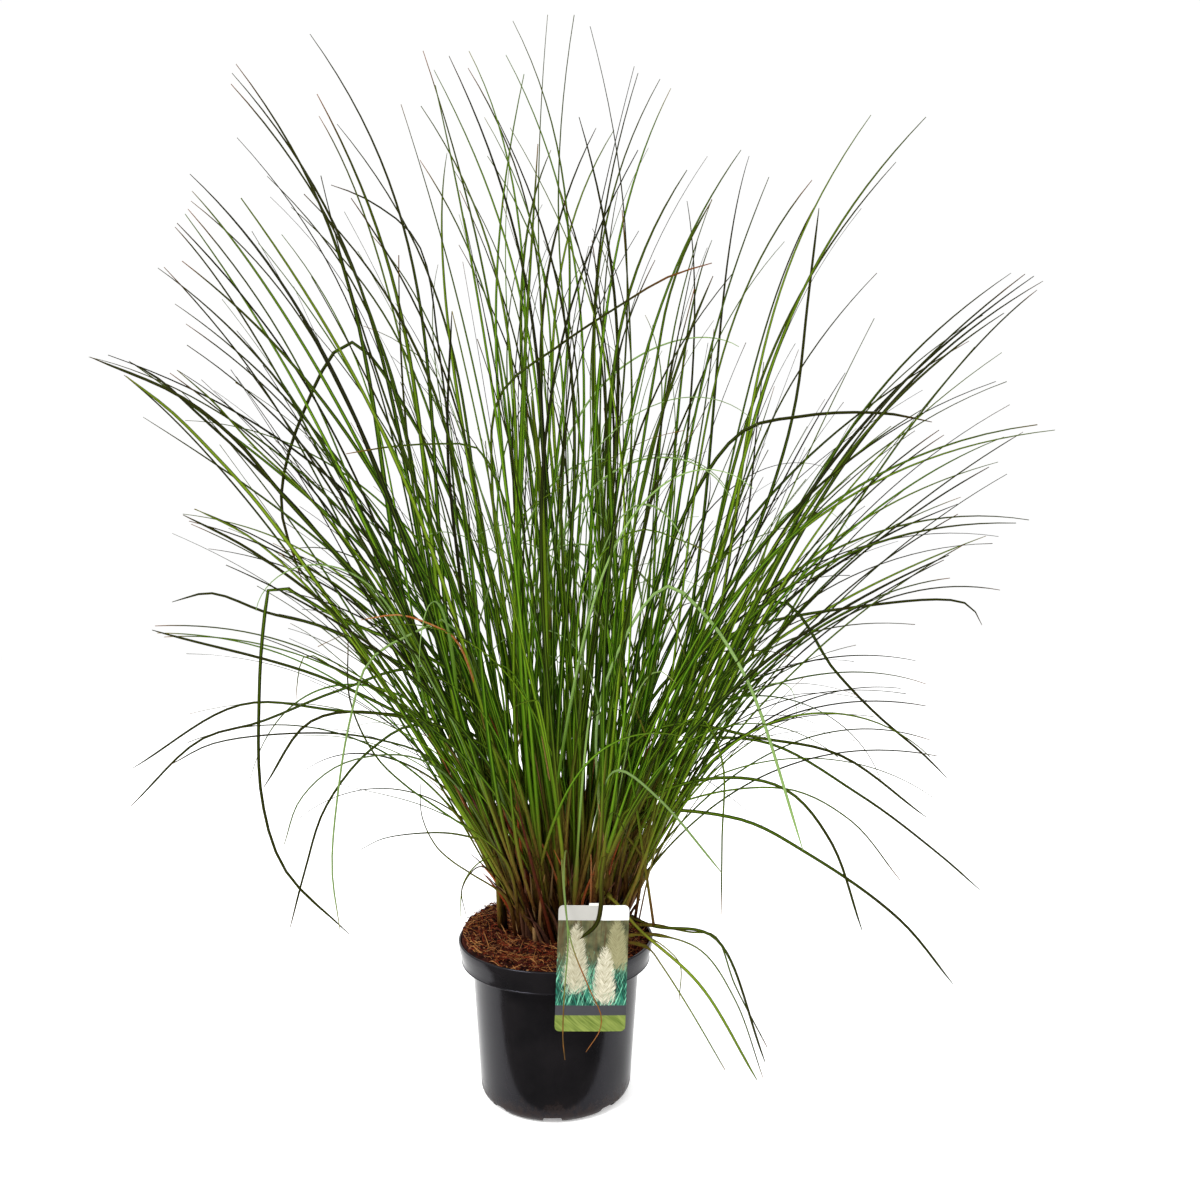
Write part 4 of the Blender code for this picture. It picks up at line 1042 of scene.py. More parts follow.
def grow(shoots):
    """Routes every leaf clear of the other shoots, main leaves first."""
    placed = [(None, chain, widths) for chain, widths in fixed_things()]
    for shoot in shoots:
        reach = OWN_REACH + OWN_SPREAD * (shoot.lean - INNER_LEAN) / (OUTER_LEAN - INNER_LEAN)
        own_way = ("rule", 0, (reach, OWN_LEVEL - OWN_DROP * reach ** 2, shoot.bearing))
        for leaf in shoot.leaves + [own_way]:
            found = clear_route(shoot, leaf, shoot.foot, placed, True)
            if found is not None:
                break
        if found is None:
            continue
        if leaf in shoot.leaves:
            shoot.leaves.remove(leaf)
        shoot.routes.append(found)
        placed.append((shoot, *found))
    for start in SIDE_LEAF_STARTS:
        for shoot in shoots:
            if not shoot.leaves or not shoot.routes:
                continue
            found = clear_route(shoot, shoot.leaves.pop(0), along_main(shoot, start), placed, False)
            if found is not None:
                shoot.routes.append(found)
                placed.append((shoot, *found))


shape = bmesh.new()
bmesh.ops.create_cone(shape, cap_ends=True, segments=8, radius1=1, radius2=1, depth=1)
bmesh.ops.translate(shape, vec=(0, 0, 0.5), verts=shape.verts)
for i in range(1, LEAF_STEPS):
    cut_through(shape, (0, 0, i / LEAF_STEPS), (0, 0, 1))
blade_uv = shape.loops.layers.uv.new("blade")
for face in shape.faces:
    for loop in face.loops:
        loop[blade_uv].uv = (loop.vert.co.x / 2 + 0.5, loop.vert.co.z)
leaf_blank, leaf_points = blank_mesh("leaf_blank", shape)
leaf_ring = np.rint(leaf_points[:, 2] * LEAF_STEPS).astype(int)
leaf_across = leaf_points[:, 0]
leaf_thick = leaf_points[:, 1]


def ease(value, start, end):
    """Returns 0 up to start and 1 from end, with a smooth change between them."""
    share = np.clip((value - start) / (end - start), 0, 1)
    return share * share * (3 - 2 * share)


def leaf_frame(route, roll, twist):
    """Returns each route point's side and upward ways, rolled above the sheath and twisted to the tip."""
    along = np.gradient(route, axis=0)
    along /= np.linalg.norm(along, axis=1)[:, None]
    side = np.cross(along[0], (0, 0, 1))
    if np.linalg.norm(side) < 1e-4:
        side = np.array((1.0, 0, 0))
    sides = []
    for way in along:
        side = side - way * np.dot(side, way)
        side = side / np.linalg.norm(side)
        sides.append(side)
    sides = np.array(sides)
    ups = np.cross(sides, along)
    share = np.linspace(0, 1, len(route))
    turn = (roll * ease(share, 0.06, 0.3) + twist * share ** 1.5)[:, None]
    return sides * np.cos(turn) + ups * np.sin(turn), ups * np.cos(turn) - sides * np.sin(turn)


def laid_leaf(route, half_widths, sheath_length, fold, turns, tone, dryness, rooted=0.0):
    """Returns a leaf's point places and tones: a wrapped sheath below, a keeled blade above."""
    distances = travelled(route)
    sides, ups = leaf_frame(route, *turns)
    opened = np.ones(len(route))
    if sheath_length:
        opened = ease(distances, sheath_length * 0.5, sheath_length * 1.3)
    thickness = half_widths * (SHEATH_THICKNESS * (1 - opened) + BLADE_THICKNESS * opened) + LEAST_THICKNESS
    width = half_widths[leaf_ring]
    crease = fold * opened[leaf_ring] * width
    lift = crease * (np.abs(leaf_across) - 0.5) + leaf_thick * thickness[leaf_ring]
    places = route[leaf_ring] + sides[leaf_ring] * (leaf_across * width)[:, None]
    places += ups[leaf_ring] * lift[:, None]
    sheathed = 1 - ease(distances + rooted, BROWN_END * 0.2, BROWN_END)
    is_under = (leaf_thick < -0.1).astype(float)
    tones = np.stack([np.full(len(leaf_ring), tone), dryness[leaf_ring], sheathed[leaf_ring], is_under],
                     axis=1)
    return places, tones


def finer_widths(route, start, scale=1.0, taper=1.0):
    """Returns the half widths along a fine route: sheath, widest blade, then a long taper to a hair."""
    length = travelled(route)[-1]
    along = np.linspace(0, 1, len(route))
    blade = blade_half_width(length) * scale
    collar = min(LONGEST_COLLAR, SHEATH_END / length)
    shares = 1 - taper * np.array(TAPER_LOSSES)
    return np.interp(along, [0, collar, max(collar + 0.05, WIDEST_PLACE), *TAPER_PLACES, 1],
                     [start, start * 0.92, *blade * shares, TIP_HALF_WIDTH])


def companion(route, chance):
    """Returns a route beside another one: from nearly the same foot, a little turned and shorter."""
    foot = route[0] + (chance.gauss(0, COMPANION_SPREAD), chance.gauss(0, COMPANION_SPREAD), 0)
    size = chance.uniform(*COMPANION_SIZES)
    turn = Matrix.Identity(3)
    for axis, spread in COMPANION_TURNS:
        turn = turn @ Matrix.Rotation(chance.gauss(0, spread), 3, axis)
    return foot + (route - route[0]) @ np.array(turn).T * size


def tip_dryness(amount):
    """Returns how dry a leaf is along its length, when a share of it is dry: its tip first."""
    along = np.linspace(0, 1, LEAF_STEPS + 1)
    return np.clip((along - 1 + amount) / DRY_FADE, 0, 1) * DRIEST


def free_arc(foot, bearing, lean, bend, length, power, sway, kink=0.0, kink_place=0.6):
    """Returns a route that leans more and more along its length, sways a little, and may kink over."""
    along = np.linspace(0, 1, LEAF_STEPS + 1)
    leans = lean + bend * along ** power + kink * (along > kink_place)
    bearings = bearing + sway * along
    ways = np.stack([np.sin(leans) * np.cos(bearings), np.sin(leans) * np.sin(bearings),
                     np.cos(leans)], axis=1)
    middles = (ways[1:] + ways[:-1]) / 2 * length / LEAF_STEPS
    return np.array(foot) + np.concatenate([np.zeros((1, 3)), np.cumsum(middles, axis=0)])


# How far the plant reaches in the photograph from the pot's rim, in pixels, by angle from upright
REACH_MIDDLE = (575, 900)
REACH_ANGLES = (-100, -78, -57, -46, -42, -33, -28, -22, -17, -8, -4, 2, 6, 13, 20, 24, 37, 45, 50, 56, 72,
                88, 103)
REACHES = (270, 440, 490, 560, 715, 750, 815, 890, 900, 850, 875, 770, 820, 760, 830, 850, 770, 665, 585,
           495, 390, 400, 380)
box_low = np.array(cad_box[0]) - BOX_MARGIN
box_high = np.array(cad_box[1]) + BOX_MARGIN


def has_room(route):
    """Says whether a route stays in the plant's own space, and clear of the pot and the label."""
    x, y, z = route.T
    radius = np.hypot(x, y)
    is_outside = (route < box_low).any() or (route > box_high).any()
    too_low = (z < LOWEST_LOOSE_LEAF) & (radius > LOOSE_LEAF_REACH)
    in_soil = (radius < LIP_RADIUS + 0.004) & (z < CROWN_LEVEL - FOOT_TRIM - 0.002)
    by_label = (abs(x - LABEL_X) < LABEL_SIDE_ROOM) & (z < LABEL_ROOM_TOP)
    by_label &= (y < LABEL_Y + LABEL_BACK_ROOM) & (y > LABEL_Y - LABEL_FRONT_ROOM)
    if is_outside or (too_low | in_soil | by_label).any():
        return False
    scale = FOCAL_PIXELS / (y - EYE.y)
    across = FRAME_MIDDLE + (x - EYE.x) * scale - REACH_MIDDLE[0]
    upward = REACH_MIDDLE[1] - FRAME_MIDDLE + (z - EYE.z) * scale
    allowed = np.interp(np.degrees(np.arctan2(across, upward)), REACH_ANGLES, REACHES)
    return (np.hypot(across, upward) < allowed).all()


def filler_leaf(shoot, chance):
    """Returns a finer leaf's route and foot width, from the soil beside a shoot or from its collar."""
    if chance.random() < FILLERS_FROM_SOIL:
        foot = shoot.foot + Vector((chance.gauss(0, FOOT_SPREAD), chance.gauss(0, FOOT_SPREAD), 0))
        start = SHEATH_HALF_WIDTH * chance.uniform(*FILLER_SHEATH_SHARES)
    else:
        foot = along_main(shoot, chance.uniform(*FILLER_COLLARS))
        start = SIDE_LEAF_START_WIDTH * chance.uniform(*FILLER_START_SHARES)
    share = (shoot.lean - INNER_LEAN) / (OUTER_LEAN - INNER_LEAN)
    bearing = shoot.bearing + chance.gauss(0, 0.32 + 0.9 * (1 - share))
    lean = max(0.01, shoot.lean * chance.uniform(*FILLER_LEAN_SHARES) + chance.gauss(0, 0.03))
    length = chance.uniform(*FILLER_LENGTHS)
    bend = abs(chance.gauss(0.25, 0.24)) + 0.08
    if chance.random() < 0.10 + 0.12 * share:
        bend = chance.uniform(*ARCHED_BENDS)
    kink = chance.uniform(*KINKS) if chance.random() < KINKED_SHARE else 0
    return free_arc(foot, bearing, lean, bend, length, chance.uniform(*FILLER_POWERS),
                    chance.gauss(0, FILLER_SWAY), kink, chance.uniform(*KINK_PLACES)), start


def low_arc(shoot, chance):
    """Returns the route and foot width of a thin leaf that arches out low and comes down again."""
    foot = along_main(shoot, chance.uniform(*LOW_ARC_COLLARS))
    bearing = shoot.bearing + chance.gauss(0, 0.35)
    lean = shoot.lean + chance.uniform(*LOW_ARC_LEANS)
    return free_arc(foot, bearing, lean, chance.uniform(*LOW_ARC_BENDS), chance.uniform(*LOW_ARC_LENGTHS),
                    chance.uniform(*LOW_ARC_POWERS), chance.gauss(0, LOW_ARC_SWAY)), THIN_START


def curl(shoot, chance):
    """Returns the route and foot width of a hair-fine leaf that curls over among the others."""
    foot = along_main(shoot, chance.uniform(*CURL_COLLARS))
    bearing = chance.uniform(0, math.tau)
    lean = shoot.lean * 0.7
    return free_arc(foot, bearing, lean, chance.uniform(*CURL_BENDS), chance.uniform(*CURL_LENGTHS),
                    chance.uniform(*CURL_POWERS), chance.gauss(0, CURL_SWAY)), THIN_START


def with_room(made, shoot, chance):
    """Makes a shoot's loose leaf again and again, and returns the first that has room, if any does."""
    for _ in range(ROOM_TRIES):
        route, start = made(shoot, chance)
        if has_room(route[3:]):
            return route, start
    return None, None


def grass_material(name, green_stops):
    """Makes the material of living leaves, with its own run of greens."""
    grass, shader = new_material(name)
    tone = add_node(grass, "ShaderNodeAttribute", attribute_name="tone")
    split = add_node(grass, "ShaderNodeSeparateColor", {"Color": tone.outputs["Color"]})
    place = add_node(grass, "ShaderNodeTexCoord")
    blade_place = add_node(grass, "ShaderNodeUVMap", uv_map="blade")
    blade_axes = add_node(grass, "ShaderNodeSeparateXYZ", {"Vector": blade_place.outputs["UV"]})
    # Each leaf has a green of its own, a little clouded
    mottle = add_node(grass, "ShaderNodeTexNoise", {
        "Vector": place.outputs["Object"], "Scale": 1000 / MOTTLE_MM, "Detail": 5, "Roughness": 0.6})
    green_value = add_node(grass, "ShaderNodeMath", {
        0: mottle.outputs["Fac"], 1: 0.4, 2: split.outputs["Red"]}, operation="MULTIPLY_ADD")
    green_share = add_node(grass, "ShaderNodeMath", {0: green_value.outputs[0], 1: 0.72},
                           operation="MULTIPLY")
    greens = add_node(grass, "ShaderNodeValToRGB", {"Fac": green_share.outputs[0]}, stops=green_stops)
    # A paler midrib runs up the middle, and the thin margins are darkened with painted shade, as where the
    # folded leaf's edges turn from the light
    off_middle = add_node(grass, "ShaderNodeMath", {0: blade_axes.outputs["X"], 1: 0.5},
                          operation="SUBTRACT")
    off_side = add_node(grass, "ShaderNodeMath", {0: off_middle.outputs[0]}, operation="ABSOLUTE")
    midrib = add_node(grass, "ShaderNodeMapRange", {
        "Value": off_side.outputs[0], "From Min": 0.03, "From Max": 0.14, "To Min": 0.55, "To Max": 0})
    painted_margin_shade = add_node(grass, "ShaderNodeMapRange", {
        "Value": off_side.outputs[0], "From Min": 0.20, "From Max": 0.44, "To Min": 0, "To Max": 0.85})
    # The upper half of a leaf turns dark olive or grey brown, on dark leaves from lower down
    upper_value = add_node(grass, "ShaderNodeMath", {
        0: split.outputs["Red"], 1: -0.5, 2: blade_axes.outputs["Y"]}, operation="MULTIPLY_ADD")
    upper = add_node(grass, "ShaderNodeMapRange", {
        "Value": upper_value.outputs[0], "From Min": 0.16, "From Max": 0.62, "To Min": 0, "To Max": 0.92})
    upper_tints = add_node(grass, "ShaderNodeValToRGB", {"Fac": split.outputs["Red"]}, stops=(
        (0.05, "#16110a"), (0.5, "#221f04"), (0.95, "#384208")))
    # A waxy bloom makes a few curled leaves pale, their undersides most
    bloom = add_node(grass, "ShaderNodeMapRange", {
        "Value": tone.outputs["Alpha"], "From Min": 1, "From Max": 4, "To Min": 0, "To Max": 0.85})
    # Sheaths are purple brown at the soil, streaked lengthwise, then tan and green up to the collar
    streak_place = add_node(grass, "ShaderNodeMapping", {
        "Vector": place.outputs["Object"],
        "Scale": (1000 / SHEATH_STREAK_MM, 1000 / SHEATH_STREAK_MM, 1000 / SHEATH_STREAK_LENGTH_MM)})
    streaks = add_node(grass, "ShaderNodeTexNoise", {
        "Vector": streak_place.outputs[0], "Scale": 1, "Detail": 3, "Roughness": 0.6})
    height_axes = add_node(grass, "ShaderNodeSeparateXYZ", {"Vector": place.outputs["Object"]})
    from_soil = add_node(grass, "ShaderNodeMapRange", {
        "Value": height_axes.outputs["Z"], "From Min": SHEATH_TINT_LEVELS[0],
        "From Max": SHEATH_TINT_LEVELS[1], "To Min": -0.30, "To Max": 0.34})
    own_shift = add_node(grass, "ShaderNodeMath", {
        0: split.outputs["Red"], 1: 0.42, 2: from_soil.outputs[0]}, operation="MULTIPLY_ADD")
    sheath_value = add_node(grass, "ShaderNodeMath", {
        0: streaks.outputs["Fac"], 1: 0.6, 2: own_shift.outputs[0]}, operation="MULTIPLY_ADD")
    sheath_tints = add_node(grass, "ShaderNodeValToRGB", {"Fac": sheath_value.outputs[0]}, stops=(
        (0.08, "#150704"), (0.24, "#371809"), (0.40, "#5a3f1d"), (0.58, "#63581f"), (0.80, "#425f0f")))
    # Dry tips go straw, rust and grey brown, in patches
    dry_value = add_node(grass, "ShaderNodeMath", {
        0: streaks.outputs["Fac"], 1: split.outputs["Red"]}, operation="ADD")
    dry_share = add_node(grass, "ShaderNodeMath", {0: dry_value.outputs[0], 1: 0.6}, operation="MULTIPLY")
    dry_tints = add_node(grass, "ShaderNodeValToRGB", {"Fac": dry_share.outputs[0]}, stops=(
        (0.28, "#3a2810"), (0.50, "#6f4420"), (0.72, "#9a4a22"), (0.92, "#9a7f50")))
    # The stages lie over the greens in this order, each as far as its share shows it
    colour = greens.outputs["Color"]
    for share, tint in ((midrib.outputs[0], linear("#7d9a2a")),
                        # Painted shade along the margins
                        (painted_margin_shade.outputs[0], linear("#181703")),
                        (upper.outputs[0], upper_tints.outputs["Color"]),
                        (bloom.outputs[0], linear("#7f9c5a")),
                        (split.outputs["Blue"], sheath_tints.outputs["Color"]),
                        (split.outputs["Green"], dry_tints.outputs["Color"])):
        stage = add_node(grass, "ShaderNodeMix", {0: share, 6: colour, 7: tint}, data_type="RGBA")
        colour = stage.outputs[2]
    link(grass, colour, shader.inputs["Base Color"])
    # Fine ribs run lengthwise, about 0.5 mm apart on the widest leaf
    rib_angle = add_node(grass, "ShaderNodeMath", {
        0: blade_axes.outputs["X"], 1: math.tau * 2000 * BLADE_HALF_WIDTH / RIB_MM}, operation="MULTIPLY")
    ribs = add_node(grass, "ShaderNodeMath", {0: rib_angle.outputs[0]}, operation="SINE")
    rib_bump = add_node(grass, "ShaderNodeBump", {
        "Height": ribs.outputs[0], "Strength": 0.25, "Distance": 0.0002})
    link(grass, rib_bump.outputs["Normal"], shader.inputs["Normal"])
    shader.inputs["Roughness"].default_value = 0.5
    shader.inputs["Specular IOR Level"].default_value = 0.02
    shader.inputs["IOR"].default_value = 1.42
    return grass


# Living grass leaf: tough, ribbed and nearly matt, so the eye sees its own greens and few highlights.
# Shoots differ a little, and three runs of green tell them apart
leaf_greens = {
    "grass_dark": grass_material("dark_green_living_leaf", (
        (0.05, "#132c04"), (0.35, "#1f4305"), (0.65, "#2f5b08"), (0.95, "#4a7412"))),
    "grass_mid": grass_material("mid_green_living_leaf", (
        (0.05, "#1a3204"), (0.35, "#294f06"), (0.65, "#3d670a"), (0.95, "#5b8218"))),
    "grass_yellow": grass_material("yellow_green_living_leaf", (
        (0.05, "#243804"), (0.35, "#385807"), (0.65, "#50700d"), (0.95, "#728a20"))),
}
all_shoots = [Shoot(number) for number in range(SHOOT_COUNT)]
give_leaves(all_shoots, random.Random(SEED))
grow(all_shoots)
shoots = [shoot for shoot in all_shoots if shoot.routes]
leaf_chance = random.Random(21)
for column, row, depth in EXTRA_TIPS:
    tip = from_photo(column, row, depth / 1000)
    place = footprint(tip)
    nearest = min(shoots, key=lambda s: (s.foot.xy - place).length + EXTRA_LEAF_COST * len(s.extras))
    foot = nearest.foot + Vector((leaf_chance.gauss(0, FOOT_SPREAD), leaf_chance.gauss(0, FOOT_SPREAD), 0))
    nearest.extras.append((EXTRA_TIP_WIDTH, EXTRA_TIP_DRYNESS, 0, arched(foot, nearest.rise, tip)))
for width, dry, pale, *places in EXTRA_ROUTES:
    points = [from_photo(column, row, depth / 1000) for column, row, depth in places]
    nearest = min(shoots, key=lambda s: (s.foot - points[0]).length)
    nearest.extras.append((width, dry, pale, through(points)))


def facing_roll(route):
    """Returns the roll that turns a leaf's flat side to the photo's view, two thirds of the way up."""
    sides, ups = leaf_frame(route, 0, 0)
    place = len(route) * 2 // 3
    view = route[place] - np.array(EYE)
    return math.atan2(-(sides[place] @ view), ups[place] @ view)


def dress(shoot, chance):
    """Returns the places and tones of a shoot's own leaves and of its finer ones."""
    dressed = []
    for rank, (whole, (kind, depth, _)) in enumerate(shoot.fine_routes):
        route = evenly(whole, LEAF_STEPS + 1)
        start = SHEATH_HALF_WIDTH * FINE_SHEATH_SHARE if rank == 0 else SIDE_LEAF_START_WIDTH
        taper = TRACED_TAPER if kind == "route" else 1
        widths = finer_widths(route, start, chance.uniform(*SCALES[kind]), taper)
        # Leaves traced whole are dark, apart from the nearest ones, which arch over in front and are pale
        pale = 0
        if kind == "route" and depth > PALE_DEPTH:
            pale = -1
        elif kind == "route" and whole[-1].z > CROWN_LEVEL:
            pale = 3
        dry = chance.uniform(*DRY_TIPS)
        dressed.append((route, widths, SHEATH_END if rank == 0 else 0, dry, pale, kind != "rule"))
    for width, dry, pale, whole in shoot.extras:
        route = evenly(whole, LEAF_STEPS + 1)
        widths = finer_widths(route, SIDE_LEAF_START_WIDTH * width, EXTRA_SCALE * width, TRACED_TAPER)
        dressed.append((route, widths, 0, dry, pale, True))
    for route, _, _, _, _, is_traced in list(dressed):
        # Most leaves grow in small bundles, whose leaves keep side by side up to their tips
        for _ in range(int(COMPANIONS * is_traced + chance.random())):
            beside = companion(route, chance)
            if route[-1, 2] > route[:, 2].max() - HANGING and has_room(beside[3:]):
                widths = finer_widths(beside, SIDE_LEAF_START_WIDTH, chance.uniform(*COMPANION_SCALES))
                dressed.append((beside, widths, 0, chance.uniform(*DRY_TIPS), 0, False))
    for _ in range(FILLERS):
        route, start = with_room(filler_leaf, shoot, chance)
        if route is not None:
            widths = finer_widths(route, start, chance.uniform(*FILLER_SCALES))
            sheath = SHEATH_END if start > WIDEST_BARE_START else 0
            pale = 2 if chance.random() < PALE_SHARE else 0
            dressed.append((route, widths, sheath, chance.uniform(*DRY_TIPS), pale, False))
    for share, made, pale in ((LOW_ARC_SHARE, low_arc, 0), (CURL_SHARE, curl, 3)):
        route, start = with_room(made, shoot, chance) if chance.random() < share else (None, None)
        if route is not None:
            widths = finer_widths(route, start, chance.uniform(*THIN_SCALES))
            dressed.append((route, widths, 0, chance.uniform(*DRY_TIPS), pale, False))
    laid = []
    for route, widths, sheath, dry, pale, is_traced in dressed:
        spread = TRACED_TURN if is_traced else LOOSE_TURN
        roll = facing_roll(route) * (1 if is_traced else chance.uniform(0, 1)) + chance.gauss(0, spread)
        fold = chance.uniform(*FOLDS)
        turns = (roll, chance.gauss(0, spread))
        tone = chance.random() if pale >= 0 else DARK_TONE
        places, tones = laid_leaf(route, widths, sheath, fold, turns, tone, tip_dryness(dry),
                                  0 if sheath else SIDE_LEAF_ROOT)
        tones[:, 3] += max(0, pale)
        laid.append((places, tones))
    return laid


node_slots = {part["node"]: part["material_slot"] for part in frame["record"]["subparts"]}
for number, shoot in enumerate(shoots, 1):
    slot = node_slots[f"shoot_{number:02d}"]
    leaves, tones = zip(*dress(shoot, leaf_chance))
    piece = repeated(f"grass_shoot_{number:02d}", leaf_blank, leaves, tones, leaf_greens[slot], 180)
    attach(piece, "root")
    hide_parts(f"shoot_{number:02d}")

# Dead leaves and old sheaths: rust brown, dry leaves among the stems, and the short purple brown
# stubs of last year's shoots, which stand around the living ones in the soil.
DEAD_LEAF_COUNT = 60
DEAD_LEAF_LENGTHS = (0.06, 0.30)
DEAD_LEAF_HALF_WIDTH = 0.0026
OLD_SHEATH_COUNT = 200
OLD_SHEATH_LENGTHS = (0.03, 0.12)
OLD_SHEATH_HALF_WIDTH = 0.0028
OLD_SHEATH_SPREAD = 1.12
DRY_WRAP = 0.03
BASE_LEANS = (0.3, 1.0)
BASE_BENDS = (0.0, 0.5)
BASE_TURN = 0.5
BASE_SWAY = 0.4


def base_place(chance, spread):
    """Returns a chance place in the outer part of the crown, on the soil."""
    angle = chance.uniform(0, math.tau)
    radius = CROWN_RADIUS * spread * math.sqrt(chance.uniform(0.3, 1))
    return Vector((CROWN_X + radius * math.cos(angle), CROWN_Y + radius * math.sin(angle),
                   CROWN_LEVEL - FOOT_TRIM))


def base_leaf(chance, lengths, width, spread):
    """Returns the route and the half widths of one short dead leaf or stub in the crown."""
    while True:
        foot = base_place(chance, spread)
        away = foot - Vector((CROWN_X, CROWN_Y, foot.z))
        lean = OUTER_LEAN * away.length / CROWN_RADIUS * chance.uniform(*BASE_LEANS)
        bearing = math.atan2(away.y, away.x) + chance.gauss(0, BASE_TURN)
        length = chance.uniform(*lengths)
        bend = chance.uniform(*BASE_BENDS)
        route = free_arc(foot, bearing, lean, bend, length, 2, chance.gauss(0, BASE_SWAY))
        if has_room(route[6:]):
            break
    widths = np.interp(np.linspace(0, 1, LEAF_STEPS + 1), [0, 0.6, 1], [width, width * 0.7, width * 0.12])
    return route, widths


# Dead grass leaf is dry, papery and matt, rust brown with straw coloured streaks
dead_grass = tone_material("dry_dead_grass_leaf", (
    (0.2, "#3a1608"), (0.5, "#772d10"), (0.8, "#a45026"), (1.0, "#a27a4c")), 0.6, 4)
# A withered sheath is thicker and more wrinkled, purple brown, and grey brown where it is oldest
old_sheath = tone_material("withered_purple_brown_sheath", (
    (0.2, "#1f110d"), (0.5, "#3f251c"), (0.8, "#6b4630"), (1.0, "#8f7048")), 0.7, 3)
dead_chance = random.Random(8)
for name, count, lengths, width, spread, material, slot in (
        ("dead_leaves", DEAD_LEAF_COUNT, DEAD_LEAF_LENGTHS, DEAD_LEAF_HALF_WIDTH, 1, dead_grass,
         "grass_yellow"),
        ("old_sheaths", OLD_SHEATH_COUNT, OLD_SHEATH_LENGTHS, OLD_SHEATH_HALF_WIDTH, OLD_SHEATH_SPREAD,
         old_sheath, "grass_dark")):
    leaves = []
    for _ in range(count):
        route, widths = base_leaf(dead_chance, lengths, width, spread)
        fold = dead_chance.uniform(0.6, 1.4)
        turns = (0, dead_chance.gauss(0, 1.2))
        places, tones = laid_leaf(route, widths, DRY_WRAP, fold, turns, 0, np.zeros(LEAF_STEPS + 1))
        tones[:, :3] = dead_chance.random()
        leaves.append((places, tones))
    piece = repeated(name, leaf_blank, *zip(*leaves), material, 180)
    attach(piece, "root")

# Plant label: a printed white polypropylene card with rounded corners, hung on the pot's rim by a
# narrow stake that folds over the card's top and goes down into the soil behind it.
LABEL_WIDTH = 0.072
LABEL_HEIGHT = 0.128
LABEL_FOOT = 0.111
LABEL_THICKNESS = 0.0008
LABEL_CORNER = 0.005
LABEL_TILT = math.radians(2)
LABEL_BOW = 0.0006
LABEL_ROWS = 24
STAKE_WIDTH = 0.010
STAKE_FOLD_RADIUS = 0.0024
STAKE_END = 0.115
STAKE_TAB = 0.024
STAKE_Y = -0.0700
PICTURE_TOP = 0.883
PICTURE_FOOT = 0.206
NAME_BAND_FOOT = 0.127
BACKDROP_PATCH_MM = 10
SCUFF_MM = 6.25


def drawn_blades(material, place_mm, lean, across, seed):
    """Returns drawn upright blades with a lean, as long noise of so many waves a millimetre."""
    turned_place = add_node(material, "ShaderNodeMapping", {
        "Vector": place_mm, "Rotation": (0, 0, lean), "Location": (seed, seed, 0)})
    long_place = add_node(material, "ShaderNodeMapping", {
        "Vector": turned_place.outputs[0], "Scale": (across, across * 0.07, 1)})
    blades = add_node(material, "ShaderNodeTexNoise", {
        "Vector": long_place.outputs[0], "Scale": 1, "Detail": 2, "Roughness": 0.55, "Distortion": 0.3})
    return blades.outputs["Fac"]


def drawn_plume(material, axes, middle, foot, size):
    """Returns the mask and the strands of one drawn plume, whose feathers lean out to both sides."""
    sideways = add_node(material, "ShaderNodeMath", {0: axes.outputs["X"], 1: middle}, operation="SUBTRACT")
    off_axis = add_node(material, "ShaderNodeMath", {0: sideways.outputs[0]}, operation="ABSOLUTE")
    off_axis_mm = add_node(material, "ShaderNodeMath", {
        0: off_axis.outputs[0], 1: LABEL_WIDTH * 1000}, operation="MULTIPLY")
    upward_mm = add_node(material, "ShaderNodeMath", {
        0: axes.outputs["Y"], 1: LABEL_HEIGHT * 1000}, operation="MULTIPLY")
    each_side = add_node(material, "ShaderNodeMath", {0: sideways.outputs[0]}, operation="SIGN")
    feather_place = add_node(material, "ShaderNodeCombineXYZ", {
        "X": off_axis_mm.outputs[0], "Y": upward_mm.outputs[0], "Z": each_side.outputs[0]})
    strands = drawn_blades(material, feather_place.outputs[0], 0.65, 2.0, 5.0)
    # The outline is a spindle, narrower at the top, and the strands fray it
    rise = add_node(material, "ShaderNodeMapRange", {
        "Value": axes.outputs["Y"], "From Min": foot, "From Max": foot + 2 * size[1],
        "To Min": -1, "To Max": 1}, clamp=False)
    narrowing = add_node(material, "ShaderNodeMath", {
        0: rise.outputs[0], 1: 0.45 / size[0], 2: 1.1 / size[0]}, operation="MULTIPLY_ADD")
    across = add_node(material, "ShaderNodeMath", {
        0: off_axis.outputs[0], 1: narrowing.outputs[0]}, operation="MULTIPLY")
    across_part = add_node(material, "ShaderNodeMath", {0: across.outputs[0], 1: 2}, operation="POWER")
    height = add_node(material, "ShaderNodeMath", {0: rise.outputs[0]}, operation="ABSOLUTE")
    height_part = add_node(material, "ShaderNodeMath", {0: height.outputs[0], 1: 3}, operation="POWER")
    outside = add_node(material, "ShaderNodeMath", {
        0: across_part.outputs[0], 1: height_part.outputs[0]}, operation="ADD")
    fray = add_node(material, "ShaderNodeMath", {0: strands, 1: 3.6}, operation="MULTIPLY")
    inside = add_node(material, "ShaderNodeMath", {0: fray.outputs[0], 1: outside.outputs[0]},
                      operation="SUBTRACT")
    mask = add_node(material, "ShaderNodeMapRange", {
        "Value": inside.outputs[0], "From Min": 0.55, "From Max": 1.0, "To Min": 0, "To Max": 1})
    return mask.outputs[0], strands
